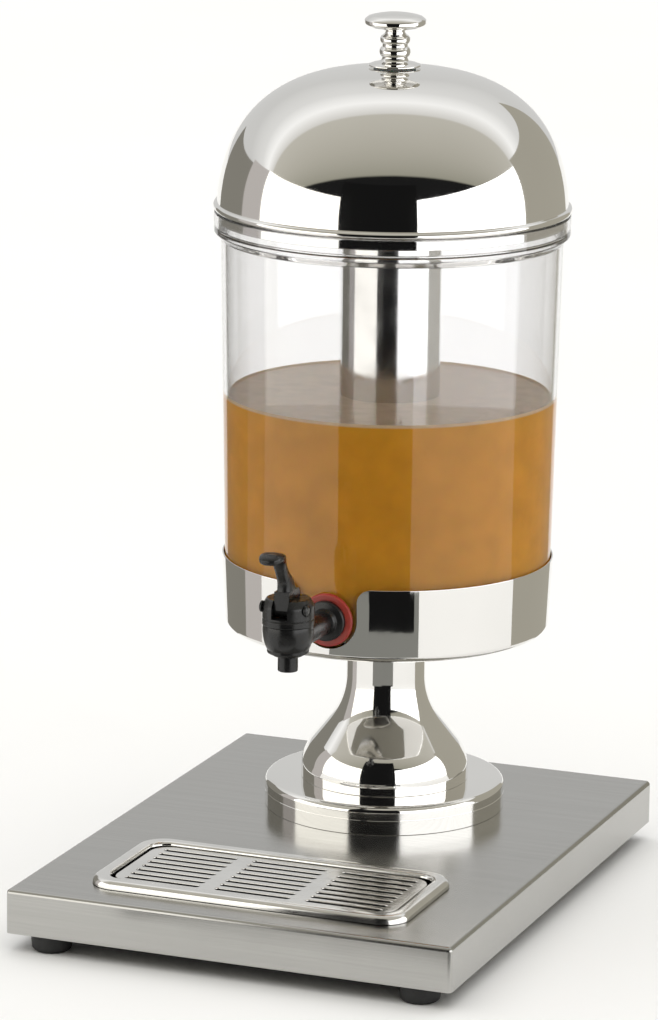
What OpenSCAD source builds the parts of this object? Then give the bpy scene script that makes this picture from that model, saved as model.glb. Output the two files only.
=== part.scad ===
// Countertop beverage dispenser with one clear container.
// A folded steel base carries a drip pan and a spun column. The column holds a cradle,
// the container stands in the cradle with its tap through a cut-out in the cradle's wall,
// and a domed lid closes the container and holds an ice tube.
// Millimetres, +Z up, tap towards -Y. The origin is the centre of the base,
// on the surface that the feet stand on.

/* [Base] */
// Width of the base
base_w = 260; // [230:1:330]
// Depth of the base
base_d = 345; // [290:1:430]
// Height of the folded sides of the base
base_h = 25; // [20:1:40]
// Thickness of the base sheet
base_t = 1.2; // [1:0.1:2]
// Outer radius of the base's folds
base_fold_r = 2.5; // [2.2:0.1:4]
// Width of the return lip around the base's open underside
base_lip_w = 14; // [10:1:20]
// Side of the square pad that holds a foot in each corner
foot_pad_w = 42; // [36:1:50]
// Distance from the column's axis to the base's rear edge
rear_margin = 103.5; // [85:0.5:125]
// Side of the square stiffener under the column
stiffener_w = 110; // [90:1:130]
// Thickness of the stiffener
stiffener_t = 2.5; // [2:0.5:4]

/* [Feet] */
// Diameter of a foot
foot_d = 23; // [18:1:30]
// Height of a foot
foot_h = 10; // [8:1:16]
// Distance from the base's left or right edge to a foot's centre
foot_side_inset = 22; // [18:1:28]
// Distance from the base's front or rear edge to a foot's centre
foot_end_inset = 13; // [13:1:28]
// Diameter of a foot's screw
foot_screw_d = 4; // [3:0.5:5]

/* [Column] */
// Diameter of the ring at the foot of the column
ring_d = 139; // [116:1:180]
// Height of the ring
ring_h = 16.5; // [12:0.5:24]
// Radius of the ring's upper edge
ring_edge_r = 4; // [2:0.5:6]
// Largest diameter of the bell
bell_d = 97; // [80:1:125]
// Height of the bell's upright foot
bell_foot_h = 4.5; // [2:0.5:10]
// Radius of the bell's shoulder
bell_shoulder_r = 28; // [20:1:35]
// Radius of the bell's throat
bell_throat_r = 40; // [30:1:45]
// Lean of the bell's flank from upright, in degrees
bell_lean = 39; // [30:1:42]
// Diameter of the neck
neck_d = 45.7; // [38:0.1:55]
// Height from the base to the cradle
column_h = 107.5; // [95:0.5:150]
// Sheet thickness of the ring and the column
column_t = 1.5; // [1:0.1:2.5]
// Diameter of the tie rod
rod_d = 8; // [6:0.5:10]

/* [Cradle] */
// Height of the cradle's wall
cradle_h = 42.5; // [38:0.5:60]
// Sheet thickness of the cradle
cradle_t = 1; // [0.8:0.1:1.5]
// Radius of the cradle's lower edge
cradle_edge_r = 4; // [3:0.5:7]
// Thickness of the silicone pad under the container
pad_t = 3; // [2:0.5:5]
// Radius of the cut-out around the tap
notch_r = 17; // [15:0.5:22]
// Radius of the cut-out's shoulders
notch_shoulder_r = 8; // [4:0.5:12]

/* [Container] */
// Outside diameter of the container at the cradle's upper edge
container_d = 187.4; // [156:0.1:225]
// Height of the container
container_h = 237; // [190:1:300]
// Wall thickness of the container
container_t = 3; // [2:0.1:4]
// Thickness of the container's floor
floor_t = 4; // [3:0.5:6]
// Radius of the container's lower outer edge
container_edge_r = 8; // [6:0.5:12]
// How much narrower the container is at its floor, on the radius
seat_draft = 2.2; // [1:0.1:3]
// How much wider the container is under its rim, on the radius
wall_draft = 3.4; // [1:0.1:6]
// How far the rim stands out from the wall
rim_step = 4.1; // [3:0.1:6]
// Height of the rim
rim_h = 12; // [10:0.5:18]
// Radial gap between the container and the cradle
seat_gap = 0.5; // [0.4:0.1:1]

/* [Lid] */
// Sheet thickness of the lid
lid_t = 1; // [0.8:0.1:1.5]
// Height of the dome from the container's rim to its top
dome_h = 81.5; // [65:0.5:110]
// Fullness of the dome: 2 is an ellipse, more is fuller
dome_power = 2.6; // [2:0.05:3.2]
// How far the dome's widest level lies under the container's rim
dome_drop = 12; // [6:1:20]
// Radius of the rolled edge
bead_r = 2; // [1.5:0.1:3]
// Depth of the lip that centres the lid in the container
lip_h = 6; // [4:0.5:7]
// Diameter of the knob's head
knob_d = 35; // [28:1:42]
// Height of the knob
knob_h = 30.4; // [25:0.1:42]
// Diameter of the knob's screw
knob_screw_d = 5; // [4:0.5:6]

/* [Ice tube] */
// Outside diameter of the ice tube
ice_tube_d = 57; // [45:0.5:70]
// Wall thickness of the ice tube
ice_tube_t = 1; // [0.8:0.1:1.5]
// Gap between the ice tube's lower end and the container's floor
ice_tube_clear = 12; // [4:0.5:20]
// Turn that frees the tube's pins from their slots, in degrees
bayonet_turn = 25; // [15:1:40]

/* [Tap] */
// Height of the tap's axis above the cradle's floor
tap_rise = 23.8; // [21:0.1:35]
// Distance from the container's boss to the valve's axis
tap_reach = 59.8; // [50:0.1:80]
// Outside diameter of the tap's threaded shank
shank_d = 15.6; // [13:0.1:18]
// Outside diameter of the valve's bowl
bowl_d = 28.4; // [26:0.1:34]
// Height of the bonnet over the bowl
bonnet_h = 15; // [14:0.5:18]
// Bore of the tap
tap_bore_d = 8; // [6:0.5:9]
// Width of the lever's thumb pad
thumb_w = 14; // [11:0.5:20]

/* [Drip tray] */
// Width of the drip pan
pan_w = 186; // [150:1:200]
// Depth of the drip pan, front to back
pan_d = 90; // [75:1:108]
// Corner radius of the drip pan
pan_r = 16; // [10:1:22]
// Width of the drip pan's flange, to the inside of the well
pan_flange_w = 9; // [7:0.5:12]
// Height of the flange over the base
pan_flange_h = 4.5; // [3.5:0.1:7]
// Sheet thickness of the drip pan
pan_t = 1.2; // [0.8:0.1:1.5]
// Distance from the base's front edge to the drip pan
pan_front_margin = 21.5; // [15:0.5:30]
// Rows of slots in the grille
slot_rows = 8; // [5:1:9]
// Columns of slots in the grille
slot_columns = 3; // [2:1:4]
// Width of a slot
slot_w = 3.8; // [3:0.1:4.5]
// Plain margin at the grille's ends
slot_end_margin = 7; // [5:0.1:20]
// Plain margin along the grille's front and back
slot_side_margin = 5.3; // [4:0.1:9]
// Gap between the columns of slots
slot_web = 9.5; // [6:0.5:14]

/* [Hidden] */
$fn = 96;

eps = 0.01;       // keeps cuts clear of the faces that they open
gap = 0.3;        // clearance between bodies that rest on each other
hole_gap = 0.2;   // radial clearance of a screw in its hole
thread_gap = 0.05; // radial clearance of a thread, drawn as a plain cylinder

// levels
plate_z = foot_h + base_h;
ring_top = plate_z + ring_h;
cradle_z = plate_z + column_h;
cradle_top = cradle_z + cradle_h;
container_z = cradle_z + cradle_t + pad_t + gap;
rim_top = container_z + container_h;
lid_z = rim_top + gap;
axis_y = base_d / 2 - rear_margin;
foot_x = base_w / 2 - foot_side_inset;
foot_y = base_d / 2 - foot_end_inset;

// container radii
seat_r = container_d / 2;
bottom_r = seat_r - seat_draft;
wall_top_r = seat_r + wall_draft;
rim_r = wall_top_r + rim_step;
mouth_r = rim_r - 2.9;
cove_h = 4;       // cone between the wall and the rim
ledge_drop = 9;   // depth of the rim's recess inside the mouth
seat_slope = seat_draft / (cradle_top - container_z - container_edge_r);
cradle_foot_r = bottom_r + seat_gap + cradle_t;
cradle_top_r = seat_r + seat_gap + cradle_t;

// lid
dome_r = rim_r - 1.1;
dome_z = rim_top - dome_drop;
dome_rise = dome_h + dome_drop;
dome_steps = 28;
knob_seat_r = 16; // flat on top of the dome
knob_seat_z = dome_z + dome_rise * pow(1 - pow(knob_seat_r / dome_r, dome_power), 1 / dome_power);
washer_t = 0.8;
knob_z = knob_seat_z + washer_t;
knob_screw_r = knob_screw_d / 2;
knob_hole_depth = 13;

// ice tube socket
socket_gap = 0.8;
socket_t = 3.2;
socket_boss_h = 3.3;
socket_disc_t = 3;
socket_h = 15.5;
tube_r = ice_tube_d / 2;
socket_r = tube_r + socket_gap + socket_t;
socket_top = knob_seat_z - lid_t;
socket_disc_z = socket_top - socket_boss_h - socket_disc_t;
tube_top = socket_disc_z - 0.5;
tube_bottom = container_z + floor_t + ice_tube_clear;
bayonet_pin_r = 1.9;
bayonet_z = socket_disc_z - 7.5;
bayonet_half = 5; // half the slot's width around the axis, in degrees

// tap
tap_z = cradle_z + tap_rise;
tap_wall_r = bottom_r + (tap_z - container_z - container_edge_r) * seat_slope;
boss_r = 15.5;
boss_stand = boss_r * seat_slope + 0.1; // clears the leaning wall beside the boss
boss_y = axis_y - tap_wall_r - boss_stand;
inner_washer_r = boss_r - 1.5;
corner_in_r = container_edge_r - container_t;
// how far the wall's inner corner reaches in at the inner washer's lowest point
corner_fall = max(0, corner_in_r - (tap_z - inner_washer_r - container_z - floor_t));
corner_reach = corner_in_r - sqrt(pow(corner_in_r, 2) - pow(corner_fall, 2));
// how far the wall curves in beside the inner washer
wall_sag = tap_wall_r - sqrt(pow(tap_wall_r, 2) - pow(inner_washer_r, 2));
boss_in_y = boss_y + boss_stand + container_t + inner_washer_r * seat_slope
    + max(corner_reach, wall_sag / 2) + 0.2;
valve_y = boss_y - tap_reach;
shank_r = shank_d / 2;
bore_r = tap_bore_d / 2;
bowl_r = bowl_d / 2;
outer_washer_t = 2.5;
inner_washer_t = 2;
backnut_t = 6;
flange_r = 11.5;
flange_t = 3;
neck_shank_r = 6.5;
outlet_r = 5.6;
outlet_bore_r = 3.9;
outlet_z = tap_z - 14.8;
bowl_floor_z = tap_z - bore_r - 0.5;
bowl_widest_z = tap_z + 9.7;
bowl_top_z = tap_z + 11.7;
bowl_t = 2.6;
bonnet_floor_t = 5;
bonnet_top_z = bowl_top_z + bonnet_h;
lever_arm = 6;                             // from the lever's pin to the stem
pin_y = valve_y - lever_arm;
pin_z = bowl_top_z + 10;
pin_r = 1.6;
pin_running_gap = 0.08;
lever_w = 8.6;
slot_x = lever_w / 2 + 0.35;               // half width of the bonnet's slot
pin_seat_x = bowl_r - 1.8;                 // spot face under the pin's heads
pin_head_r = 3.2;
pin_head_t = 1.9;
stem_r = 1.8;
stem_pin_r = 1.2;
stem_slot_x = stem_r + 0.5;
cup_r = 6.6;
cup_h = 6;
cup_z = bowl_floor_z + gap;
spring_r = 4.6;
spring_wire_r = 0.55;
spring_turns = 4;

// drip tray
pan_y = -base_d / 2 + pan_front_margin + pan_d / 2;
pan_z = plate_z + gap;
pan_top = plate_z + pan_flange_h + gap;
pan_floor_z = foot_h + 5;
well_w = pan_w - 2 * (pan_flange_w - pan_t);
well_d = pan_d - 2 * (pan_flange_w - pan_t);
well_r = pan_r - 4;
ledge_z = plate_z + 1;
ledge_w = 4;
ledge_t = 1.2;
grille_t = 1.5;
grille_z = ledge_z + gap;
grille_gap = 1.5;
grille_w = well_w - 2 * pan_t - 2 * grille_gap;
grille_d = well_d - 2 * pan_t - 2 * grille_gap;
grille_r = well_r;
ledge_l = grille_w - 4 * grille_r;

// ---- shapes that repeat ----

// rectangle with round corners, centred
module round_rect(w, d, r) {
    square([w - 2 * r, d], center = true);
    square([w, d - 2 * r], center = true);
    for (sx = [-1, 1], sy = [-1, 1])
        translate([sx * (w / 2 - r), sy * (d / 2 - r)]) circle(r);
}

// places its children on the column's axis
module on_axis(z = 0) {
    translate([0, axis_y, z]) children();
}

// cylinder along -Y from y_in to y_out, with its axis at the tap's level
module along_tap(r, y_in, y_out) {
    translate([0, y_in, tap_z]) rotate([90, 0, 0]) cylinder(r = r, h = y_in - y_out);
}

// cylinder along X between -x and +x
module across(r, x, y, z) {
    translate([-x, y, z]) rotate([0, 90, 0]) cylinder(r = r, h = 2 * x);
}

// ring between two radii
module washer(r_out, r_in, h) {
    difference() {
        cylinder(r = r_out, h = h);
        translate([0, 0, -1]) cylinder(r = r_in, h = h + 2);
    }
}

// hexagon nut, across flats
module hex_nut(flats, r_in, h) {
    difference() {
        cylinder(r = flats / 2 / cos(30), h = h, $fn = 6);
        translate([0, 0, -1]) cylinder(r = r_in, h = h + 2);
    }
}

// points of an arc around (cx, cy)
function arc(cx, cy, r, a0, a1, n = 8) =
    [for (i = [0:n]) let (a = a0 + (a1 - a0) * i / n) [cx + r * cos(a), cy + r * sin(a)]];

function reversed(p) = [for (i = [len(p) - 1:-1:0]) p[i]];

// places its children at the four feet
module at_feet(z = 0) {
    for (sx = [-1, 1], sy = [-1, 1])
        translate([sx * foot_x, sy * foot_y, z]) children();
}

// ---- base ----

module base_shell() {
    straight = base_h - base_fold_r;
    translate([0, 0, foot_h]) hull()
        for (sx = [-1, 1], sy = [-1, 1])
            translate([sx * (base_w / 2 - base_fold_r), sy * (base_d / 2 - base_fold_r), 0]) {
                cylinder(r = base_fold_r, h = straight, $fn = 32);
                translate([0, 0, straight]) sphere(r = base_fold_r, $fn = 32);
            }
}

module base_lip() {
    translate([0, 0, foot_h]) linear_extrude(base_t) difference() {
        round_rect(base_w - base_t, base_d - base_t, base_fold_r);
        difference() {
            square([base_w - 2 * base_lip_w, base_d - 2 * base_lip_w], center = true);
            for (sx = [-1, 1], sy = [-1, 1])
                translate([sx * base_w / 2, sy * base_d / 2])
                    square(2 * foot_pad_w, center = true);
        }
    }
}

module base_plate() {
    color("silver") difference() {
        union() {
            difference() {
                base_shell();
                translate([0, 0, foot_h - 1]) linear_extrude(base_h + 1 - base_t)
                    round_rect(base_w - 2 * base_t, base_d - 2 * base_t, base_fold_r - base_t);
            }
            base_lip();
        }
        translate([0, pan_y, foot_h + base_h / 2]) linear_extrude(base_h)
            round_rect(well_w + 2, well_d + 2, well_r + 1);
        on_axis() cylinder(r = rod_d / 2 + hole_gap, h = plate_z + 1);
        at_feet() cylinder(r = foot_screw_d / 2 + hole_gap, h = foot_h + 2 * base_t);
    }
}

module base_stiffener() {
    color("silver") difference() {
        on_axis(plate_z - base_t - stiffener_t) linear_extrude(stiffener_t)
            round_rect(stiffener_w, stiffener_w, 8);
        on_axis() cylinder(r = rod_d / 2 + hole_gap, h = plate_z);
    }
}

module foot(sx, sy) {
    edge = 2.5;
    recess_r = foot_screw_d + 1;
    color("black")
        translate([sx * foot_x, sy * foot_y, 0])
            rotate_extrude() polygon(concat(
                [[recess_r, 0]],
                arc(foot_d / 2 - 1 - edge, edge, edge, -90, 0),
                [[foot_d / 2, foot_h], [foot_screw_d / 2 + hole_gap, foot_h],
                 [foot_screw_d / 2 + hole_gap, foot_h * 0.4], [recess_r, foot_h * 0.4]]));
}

module foot_front_left() { foot(-1, -1); }
module foot_front_right() { foot(1, -1); }
module foot_rear_left() { foot(-1, 1); }
module foot_rear_right() { foot(1, 1); }

module foot_screws() {
    head_h = 2.4;
    color("gray") at_feet(foot_h * 0.4) {
        cylinder(r = foot_screw_d / 2, h = foot_h * 0.6 + base_t + 5);
        translate([0, 0, -head_h]) cylinder(r = foot_screw_d * 0.9, h = head_h);
    }
}

module foot_nuts() {
    color("gray") at_feet(foot_h + base_t)
        hex_nut(foot_screw_d * 1.75, foot_screw_d / 2 + thread_gap, foot_screw_d * 0.8);
}

// ---- column ----

// outline of the ring's outer or inner side, from its foot to its top
function ring_side(t) = concat(
    [[ring_d / 2 - t, plate_z]],
    arc(ring_d / 2 - ring_edge_r, ring_top - ring_edge_r, ring_edge_r - t, 0, 90));

module column_ring() {
    hole_r = rod_d / 2 + hole_gap;
    color("gainsboro") on_axis() rotate_extrude() polygon(concat(
        ring_side(0),
        [[hole_r, ring_top], [hole_r, ring_top - column_t]],
        reversed(ring_side(column_t))));
}

// outline of the bell and neck, at a depth t under the outer surface
function bell_side(t) =
    let (bell_r = bell_d / 2, neck_r = neck_d / 2,
         a = bell_lean, shoulder = bell_shoulder_r, throat = bell_throat_r,
         flank = (bell_r - neck_r - (shoulder + throat) * (1 - cos(a))) / sin(a),
         z1 = ring_top + bell_foot_h,
         z2 = z1 + (shoulder + throat) * sin(a) + flank * cos(a))
    concat(
        [[bell_r - t, ring_top]],
        arc(bell_r - shoulder, z1, shoulder - t, 0, a),
        arc(neck_r + throat, z2, throat + t, 180 + a, 180),
        [[neck_r - t, cradle_z]]);

module column() {
    color("gainsboro") on_axis() rotate_extrude() {
        polygon(concat(bell_side(0), reversed(bell_side(column_t))));
        translate([bell_d / 2 - 10, ring_top]) square([10 - column_t / 2, column_t]);
    }
}

module tie_rod() {
    head_t = 3;
    end_z = plate_z - base_t - stiffener_t - 11;
    color("gray") on_axis() {
        translate([0, 0, end_z]) cylinder(r = rod_d / 2, h = cradle_z - end_z);
        translate([0, 0, cradle_z - head_t])
            cylinder(r = neck_d / 2 - column_t - hole_gap, h = head_t);
    }
}

module tie_rod_washer() {
    t = 1.6;
    color("gray") on_axis(plate_z - base_t - stiffener_t - t)
        washer(rod_d, rod_d / 2 + hole_gap, t);
}

module tie_rod_nut() {
    h = rod_d * 0.8;
    color("gray") on_axis(plate_z - base_t - stiffener_t - 1.6 - h)
        hex_nut(rod_d * 1.625, rod_d / 2 + thread_gap, h);
}

// ---- cradle ----

// outline of the cradle's outer or inner side, from its floor to its rim
function cradle_side(t) = concat(
    arc(cradle_foot_r - cradle_edge_r, cradle_z + cradle_edge_r, cradle_edge_r - t, -90, 0),
    [[cradle_top_r - t, cradle_top]]);

module notch_outline() {
    square_h = cradle_top + 1 - tap_z;
    s = notch_shoulder_r;
    translate([0, tap_z]) circle(notch_r);
    translate([-notch_r, tap_z]) square([2 * notch_r, square_h]);
    for (sx = [-1, 1]) difference() {
        translate([sx * (notch_r + s / 2 - 0.5), cradle_top - s / 2 + 0.5])
            square([s + 1, s + 1], center = true);
        translate([sx * (notch_r + s), cradle_top - s]) circle(s);
    }
}

module cradle() {
    color("gainsboro") difference() {
        on_axis() rotate_extrude() polygon(concat(
            [[0, cradle_z]], cradle_side(0), reversed(cradle_side(cradle_t)),
            [[0, cradle_z + cradle_t]]));
        translate([0, axis_y - seat_r / 2, 0]) rotate([90, 0, 0])
            linear_extrude(seat_r) notch_outline();
    }
}

module cradle_pad() {
    color("lightgray") on_axis(cradle_z + cradle_t)
        washer(bottom_r - container_edge_r - 4, 30, pad_t);
}

// ---- container ----

module container_outline() {
    rim_z = rim_top - rim_h;
    in_r = wall_top_r - container_t;
    in_edge_r = container_edge_r - container_t;
    polygon(concat(
        [[0, container_z]],
        arc(bottom_r - container_edge_r, container_z + container_edge_r, container_edge_r, -90, 0),
        [[seat_r, cradle_top], [wall_top_r, rim_z - cove_h], [rim_r - 1, rim_z], [rim_r, rim_z + 1],
         [rim_r, rim_top - 1], [rim_r - 1, rim_top], [mouth_r, rim_top],
         [mouth_r, rim_top - ledge_drop], [in_r, rim_top - ledge_drop - 2],
         [in_r, rim_z - cove_h], [seat_r - container_t, cradle_top]],
        arc(bottom_r - container_t - in_edge_r, container_z + floor_t + in_edge_r, in_edge_r, 0, -90),
        [[0, container_z + floor_t]]));
}

module container() {
    color([0.85, 0.87, 0.9, 0.35]) difference() {
        union() {
            on_axis() rotate_extrude() container_outline();
            along_tap(boss_r, boss_in_y, boss_y);
        }
        along_tap(shank_r + hole_gap, boss_in_y + 1, boss_y - 1);
    }
}

// ---- tap ----

// outline of the valve's bowl and outlet, from the outlet's edge to the bowl's top
function bowl_side() = concat(
    [[outlet_r, outlet_z], [outlet_r, tap_z - 6.3]],
    [for (i = [0:10]) let (a = -90 + 9 * i)
        [outlet_r + 1 + (bowl_r - outlet_r - 1) * cos(a),
         bowl_widest_z + (bowl_widest_z - tap_z + 6.3) * sin(a)]],
    [[bowl_r, bowl_top_z]]);

module tap_body() {
    shank_in_y = boss_in_y + inner_washer_t + backnut_t + 3;
    disc_y = boss_y - outer_washer_t;
    color("dimgray") difference() {
        union() {
            along_tap(shank_r, shank_in_y, disc_y);
            along_tap(flange_r, disc_y, disc_y - flange_t);
            along_tap(neck_shank_r, disc_y, valve_y);
            translate([0, valve_y, 0]) rotate_extrude()
                polygon(concat([[0, outlet_z]], bowl_side(), [[0, bowl_top_z]]));
        }
        along_tap(bore_r, shank_in_y + 1, valve_y);
        translate([0, valve_y, bowl_floor_z])
            cylinder(r = bowl_r - bowl_t, h = bowl_top_z);
        translate([0, valve_y, outlet_z - 1]) cylinder(r = outlet_bore_r, h = 30);
    }
}

module tap_outer_washer() {
    color("firebrick") translate([0, boss_y, tap_z]) rotate([90, 0, 0])
        washer(boss_r - 0.3, shank_r + hole_gap, outer_washer_t);
}

module tap_inner_washer() {
    color("black") translate([0, boss_in_y + inner_washer_t, tap_z]) rotate([90, 0, 0])
        washer(inner_washer_r, shank_r + hole_gap, inner_washer_t);
}

module tap_backnut() {
    color("dimgray") translate([0, boss_in_y + inner_washer_t + backnut_t, tap_z])
        rotate([90, 0, 0]) hex_nut(23, shank_r + thread_gap, backnut_t);
}

module tap_bonnet() {
    edge = 2;
    color("dimgray") difference() {
        union() {
            translate([0, valve_y, 0]) rotate_extrude() polygon(concat(
                [[0, bowl_top_z], [bowl_r + 0.2, bowl_top_z]],
                arc(bowl_r + 0.2 - edge, bonnet_top_z - edge, edge, 0, 90),
                [[0, bonnet_top_z]]));
            translate([0, valve_y, bowl_top_z - 3]) cylinder(r = bowl_r - bowl_t - 0.1, h = 4);
        }
        translate([0, valve_y, bowl_top_z - 4]) cylinder(r = spring_r + 1.2, h = 6);
        translate([0, valve_y, bowl_top_z - 4]) cylinder(r = stem_r + 0.35, h = 10);
        translate([-slot_x, valve_y - bowl_r - 1, bowl_top_z + bonnet_floor_t])
            cube([2 * slot_x, 2 * bowl_r + 2, bonnet_h]);
        across(pin_r + thread_gap, bowl_r + 1, pin_y, pin_z);
        for (sx = [-1, 1]) translate([sx * (pin_seat_x + 5), pin_y, pin_z]) rotate([0, 90, 0])
            cylinder(r = pin_head_r + 0.4, h = 10, center = true);
    }
}

module tap_lever_pin() {
    color("gray") {
        across(pin_r, pin_seat_x + pin_head_t / 2, pin_y, pin_z);
        for (sx = [-1, 1])
            translate([sx * (pin_seat_x + pin_head_t / 2), pin_y, pin_z]) rotate([0, 90, 0])
                cylinder(r = pin_head_r, h = pin_head_t, center = true);
    }
}

// side outline of the lever's foot, with the pin at (0, 0)
module lever_foot_outline() {
    circle(4.6);
    polygon([[-4.4, -1], [-3.6, 13], [-1.5, 16.2], [6, 17], [11, 15], [13, 11], [12.6, 2],
             [10, -2.8], [0, -2.8]]);
}

module tap_lever() {
    thumb_t = 3.6;
    lean = [pin_y - 9.5, pin_z + 27.5];
    color("dimgray") difference() {
        union() {
            translate([-lever_w / 2, pin_y, pin_z]) rotate([90, 0, 90])
                linear_extrude(lever_w) lever_foot_outline();
            hull() {
                across(3.4, 3.4, pin_y + 1, pin_z + 12.5);
                across(2.6, 3.4, lean[0], lean[1]);
            }
            hull() {
                across(2.4, 3.4, lean[0], lean[1] + 1);
                translate([0, lean[0] - 2.6, lean[1] + 4.5])
                    cylinder(r = thumb_w / 2, h = thumb_t, $fn = 48);
                translate([0, lean[0] - 10.5, lean[1] + 3.8])
                    cylinder(r = thumb_w / 2, h = thumb_t, $fn = 48);
            }
        }
        across(pin_r + pin_running_gap, lever_w, pin_y, pin_z);
        // room for the stem, open behind and below
        translate([-stem_slot_x, pin_y + 2.7, pin_z - 6]) cube([2 * stem_slot_x, 20, 12.5]);
        // slotted holes for the stem's cross pin
        across(stem_pin_r + 0.35, lever_w, valve_y, pin_z);
        across(stem_pin_r + 0.35, lever_w, valve_y + 0.6, pin_z);
        translate([-lever_w, valve_y, pin_z - stem_pin_r - 0.35])
            cube([2 * lever_w, 0.6, 2 * stem_pin_r + 0.7]);
    }
}

module tap_stem() {
    color("gray") difference() {
        union() {
            translate([0, valve_y, cup_z + 2]) cylinder(r = stem_r, h = pin_z + 2 - cup_z - 2);
            translate([0, valve_y, cup_z + cup_h]) cylinder(r = 5.4, h = 1);
        }
        across(stem_pin_r + thread_gap, 5, valve_y, pin_z);
    }
}

module tap_stem_pin() {
    color("gray") across(stem_pin_r, lever_w / 2 - 0.1, valve_y, pin_z);
}

module tap_seat_cup() {
    color("white") translate([0, valve_y, cup_z]) difference() {
        rotate_extrude() polygon([[0, 0], [cup_r - 1.4, 0], [cup_r, 2], [cup_r - 1, cup_h], [0, cup_h]]);
        translate([0, 0, 2]) cylinder(r = stem_r + thread_gap, h = cup_h);
    }
}

// coil spring as a stack of rings joined by short posts
module tap_spring() {
    low = cup_z + cup_h + 1 + spring_wire_r;
    high = bowl_top_z + 2 - spring_wire_r;
    pitch = (high - low) / spring_turns;
    color("gray") translate([0, valve_y, 0]) {
        for (i = [0:spring_turns]) translate([0, 0, low + i * pitch])
            rotate_extrude() translate([spring_r, 0]) circle(spring_wire_r);
        for (i = [0:spring_turns - 1]) rotate(180 * i) translate([spring_r, 0, low + i * pitch])
            cylinder(r = spring_wire_r * 0.8, h = pitch);
    }
}

// ---- lid ----

// outline of the dome at a depth t under its outer surface, from the rim to the flat top
function dome_side(t) =
    let (r = dome_r - t, h = dome_rise - t, low = lid_z + 1.5 - dome_z,
         a0 = asin(pow(low / h, dome_power / 2)), a1 = acos(pow(knob_seat_r / r, dome_power / 2)))
    [for (i = [0:dome_steps]) let (a = a0 + (a1 - a0) * i / dome_steps)
        [r * pow(cos(a), 2 / dome_power), dome_z + h * pow(sin(a), 2 / dome_power)]];

module lid_dome() {
    lip_r = mouth_r - seat_gap;
    hole_r = knob_screw_r + hole_gap;
    color("gainsboro") on_axis() rotate_extrude() {
        polygon(concat(
            dome_side(0), [[hole_r, knob_seat_z], [hole_r, knob_seat_z - lid_t],
                           [knob_seat_r - 1, knob_seat_z - lid_t]],
            reversed(dome_side(lid_t))));
        translate([dome_r - bead_r * 0.1, lid_z + bead_r]) circle(bead_r);
        translate([lip_r - lid_t, lid_z]) square([dome_r - lip_r + lid_t, lid_t]);
        translate([lip_r - lid_t, lid_z - gap - lip_h]) square([lid_t, lip_h + gap + lid_t]);
    }
}

// outline of the knob: flange, two beads, neck and mushroom head
function knob_side() =
    let (k = knob_h / 33.6, r = knob_d / 2)
    concat(
        [[14.9, 0], [14.9, 1 * k], [12.5, 2.3 * k], [8.2, 3.4 * k], [7.3, 4.6 * k]],
        arc(5.6, 9 * k, 3.4 * k, -65, 65),
        [[7.1, 13.4 * k]],
        arc(5.8, 16.6 * k, 2.9 * k, -60, 60),
        [[6, 20.3 * k], [5.7, 22 * k], [7.4, 24 * k], [r * 0.6, 25 * k], [r * 0.84, 26 * k]],
        arc(r - 2.2, 28.2 * k, 2.2, -60, 60),
        [for (i = [1:6]) let (u = 1 - i / 6) [(r - 1.1) * u, 30.1 * k + 3.5 * k * (1 - u * u)]]);

module lid_knob() {
    color("gainsboro") on_axis(knob_z) difference() {
        rotate_extrude() polygon(concat([[0, 0]], knob_side()));
        translate([0, 0, -1]) cylinder(r = knob_screw_r + thread_gap, h = knob_hole_depth + 1);
    }
}

module lid_knob_washer() {
    color("white") on_axis(knob_seat_z) washer(12, knob_screw_r + hole_gap, washer_t);
}

module lid_knob_screw() {
    head_h = 3;
    color("gray") on_axis(socket_disc_z) {
        cylinder(r = knob_screw_r, h = knob_z + knob_hole_depth - 1.5 - socket_disc_z);
        translate([0, 0, -head_h]) cylinder(r = knob_screw_d * 0.9, h = head_h);
    }
}

// ---- ice tube ----

// wedge that cuts a slot in the socket's wall, between two angles and two levels
module socket_slot(a0, a1, z0, z1) {
    reach = 2 * socket_r;
    translate([0, 0, z0]) linear_extrude(z1 - z0)
        polygon([[0, 0], reach * [cos(a0), sin(a0)], reach * [cos(a1), sin(a1)]]);
}

module ice_tube_socket() {
    slot_half_h = bayonet_pin_r + gap;
    color("dimgray") on_axis() difference() {
        union() {
            translate([0, 0, socket_disc_z + socket_disc_t - eps])
                cylinder(r = 12, h = socket_boss_h + eps);
            translate([0, 0, socket_disc_z]) cylinder(r = socket_r, h = socket_disc_t);
            translate([0, 0, socket_disc_z - socket_h])
                washer(socket_r, socket_r - socket_t, socket_h + eps);
        }
        translate([0, 0, socket_disc_z - 1])
            cylinder(r = knob_screw_r + hole_gap, h = socket_disc_t + socket_boss_h + 2);
        for (side = [90, 270]) rotate(side) {
            socket_slot(-bayonet_half, bayonet_turn + bayonet_half,
                        bayonet_z - slot_half_h, bayonet_z + slot_half_h);
            socket_slot(bayonet_turn - bayonet_half, bayonet_turn + bayonet_half,
                        socket_disc_z - socket_h - 1, bayonet_z);
        }
    }
}

module ice_tube() {
    edge = 8;
    in_r = tube_r - ice_tube_t;
    in_edge = edge - ice_tube_t;
    color("gainsboro") on_axis() {
        rotate_extrude() polygon(concat(
            [[0, tube_bottom]],
            arc(tube_r - edge, tube_bottom + edge, edge, -90, 0),
            [[tube_r, tube_top], [in_r, tube_top]],
            arc(in_r - in_edge, tube_bottom + edge, in_edge, 0, -90),
            [[0, tube_bottom + ice_tube_t]]));
        for (side = [90, 270]) rotate(side) translate([tube_r - ice_tube_t / 2, 0, bayonet_z])
            rotate([0, 90, 0]) cylinder(r = bayonet_pin_r, h = ice_tube_t / 2 + socket_gap + 2.6);
    }
}

// ---- drip tray ----

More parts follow.
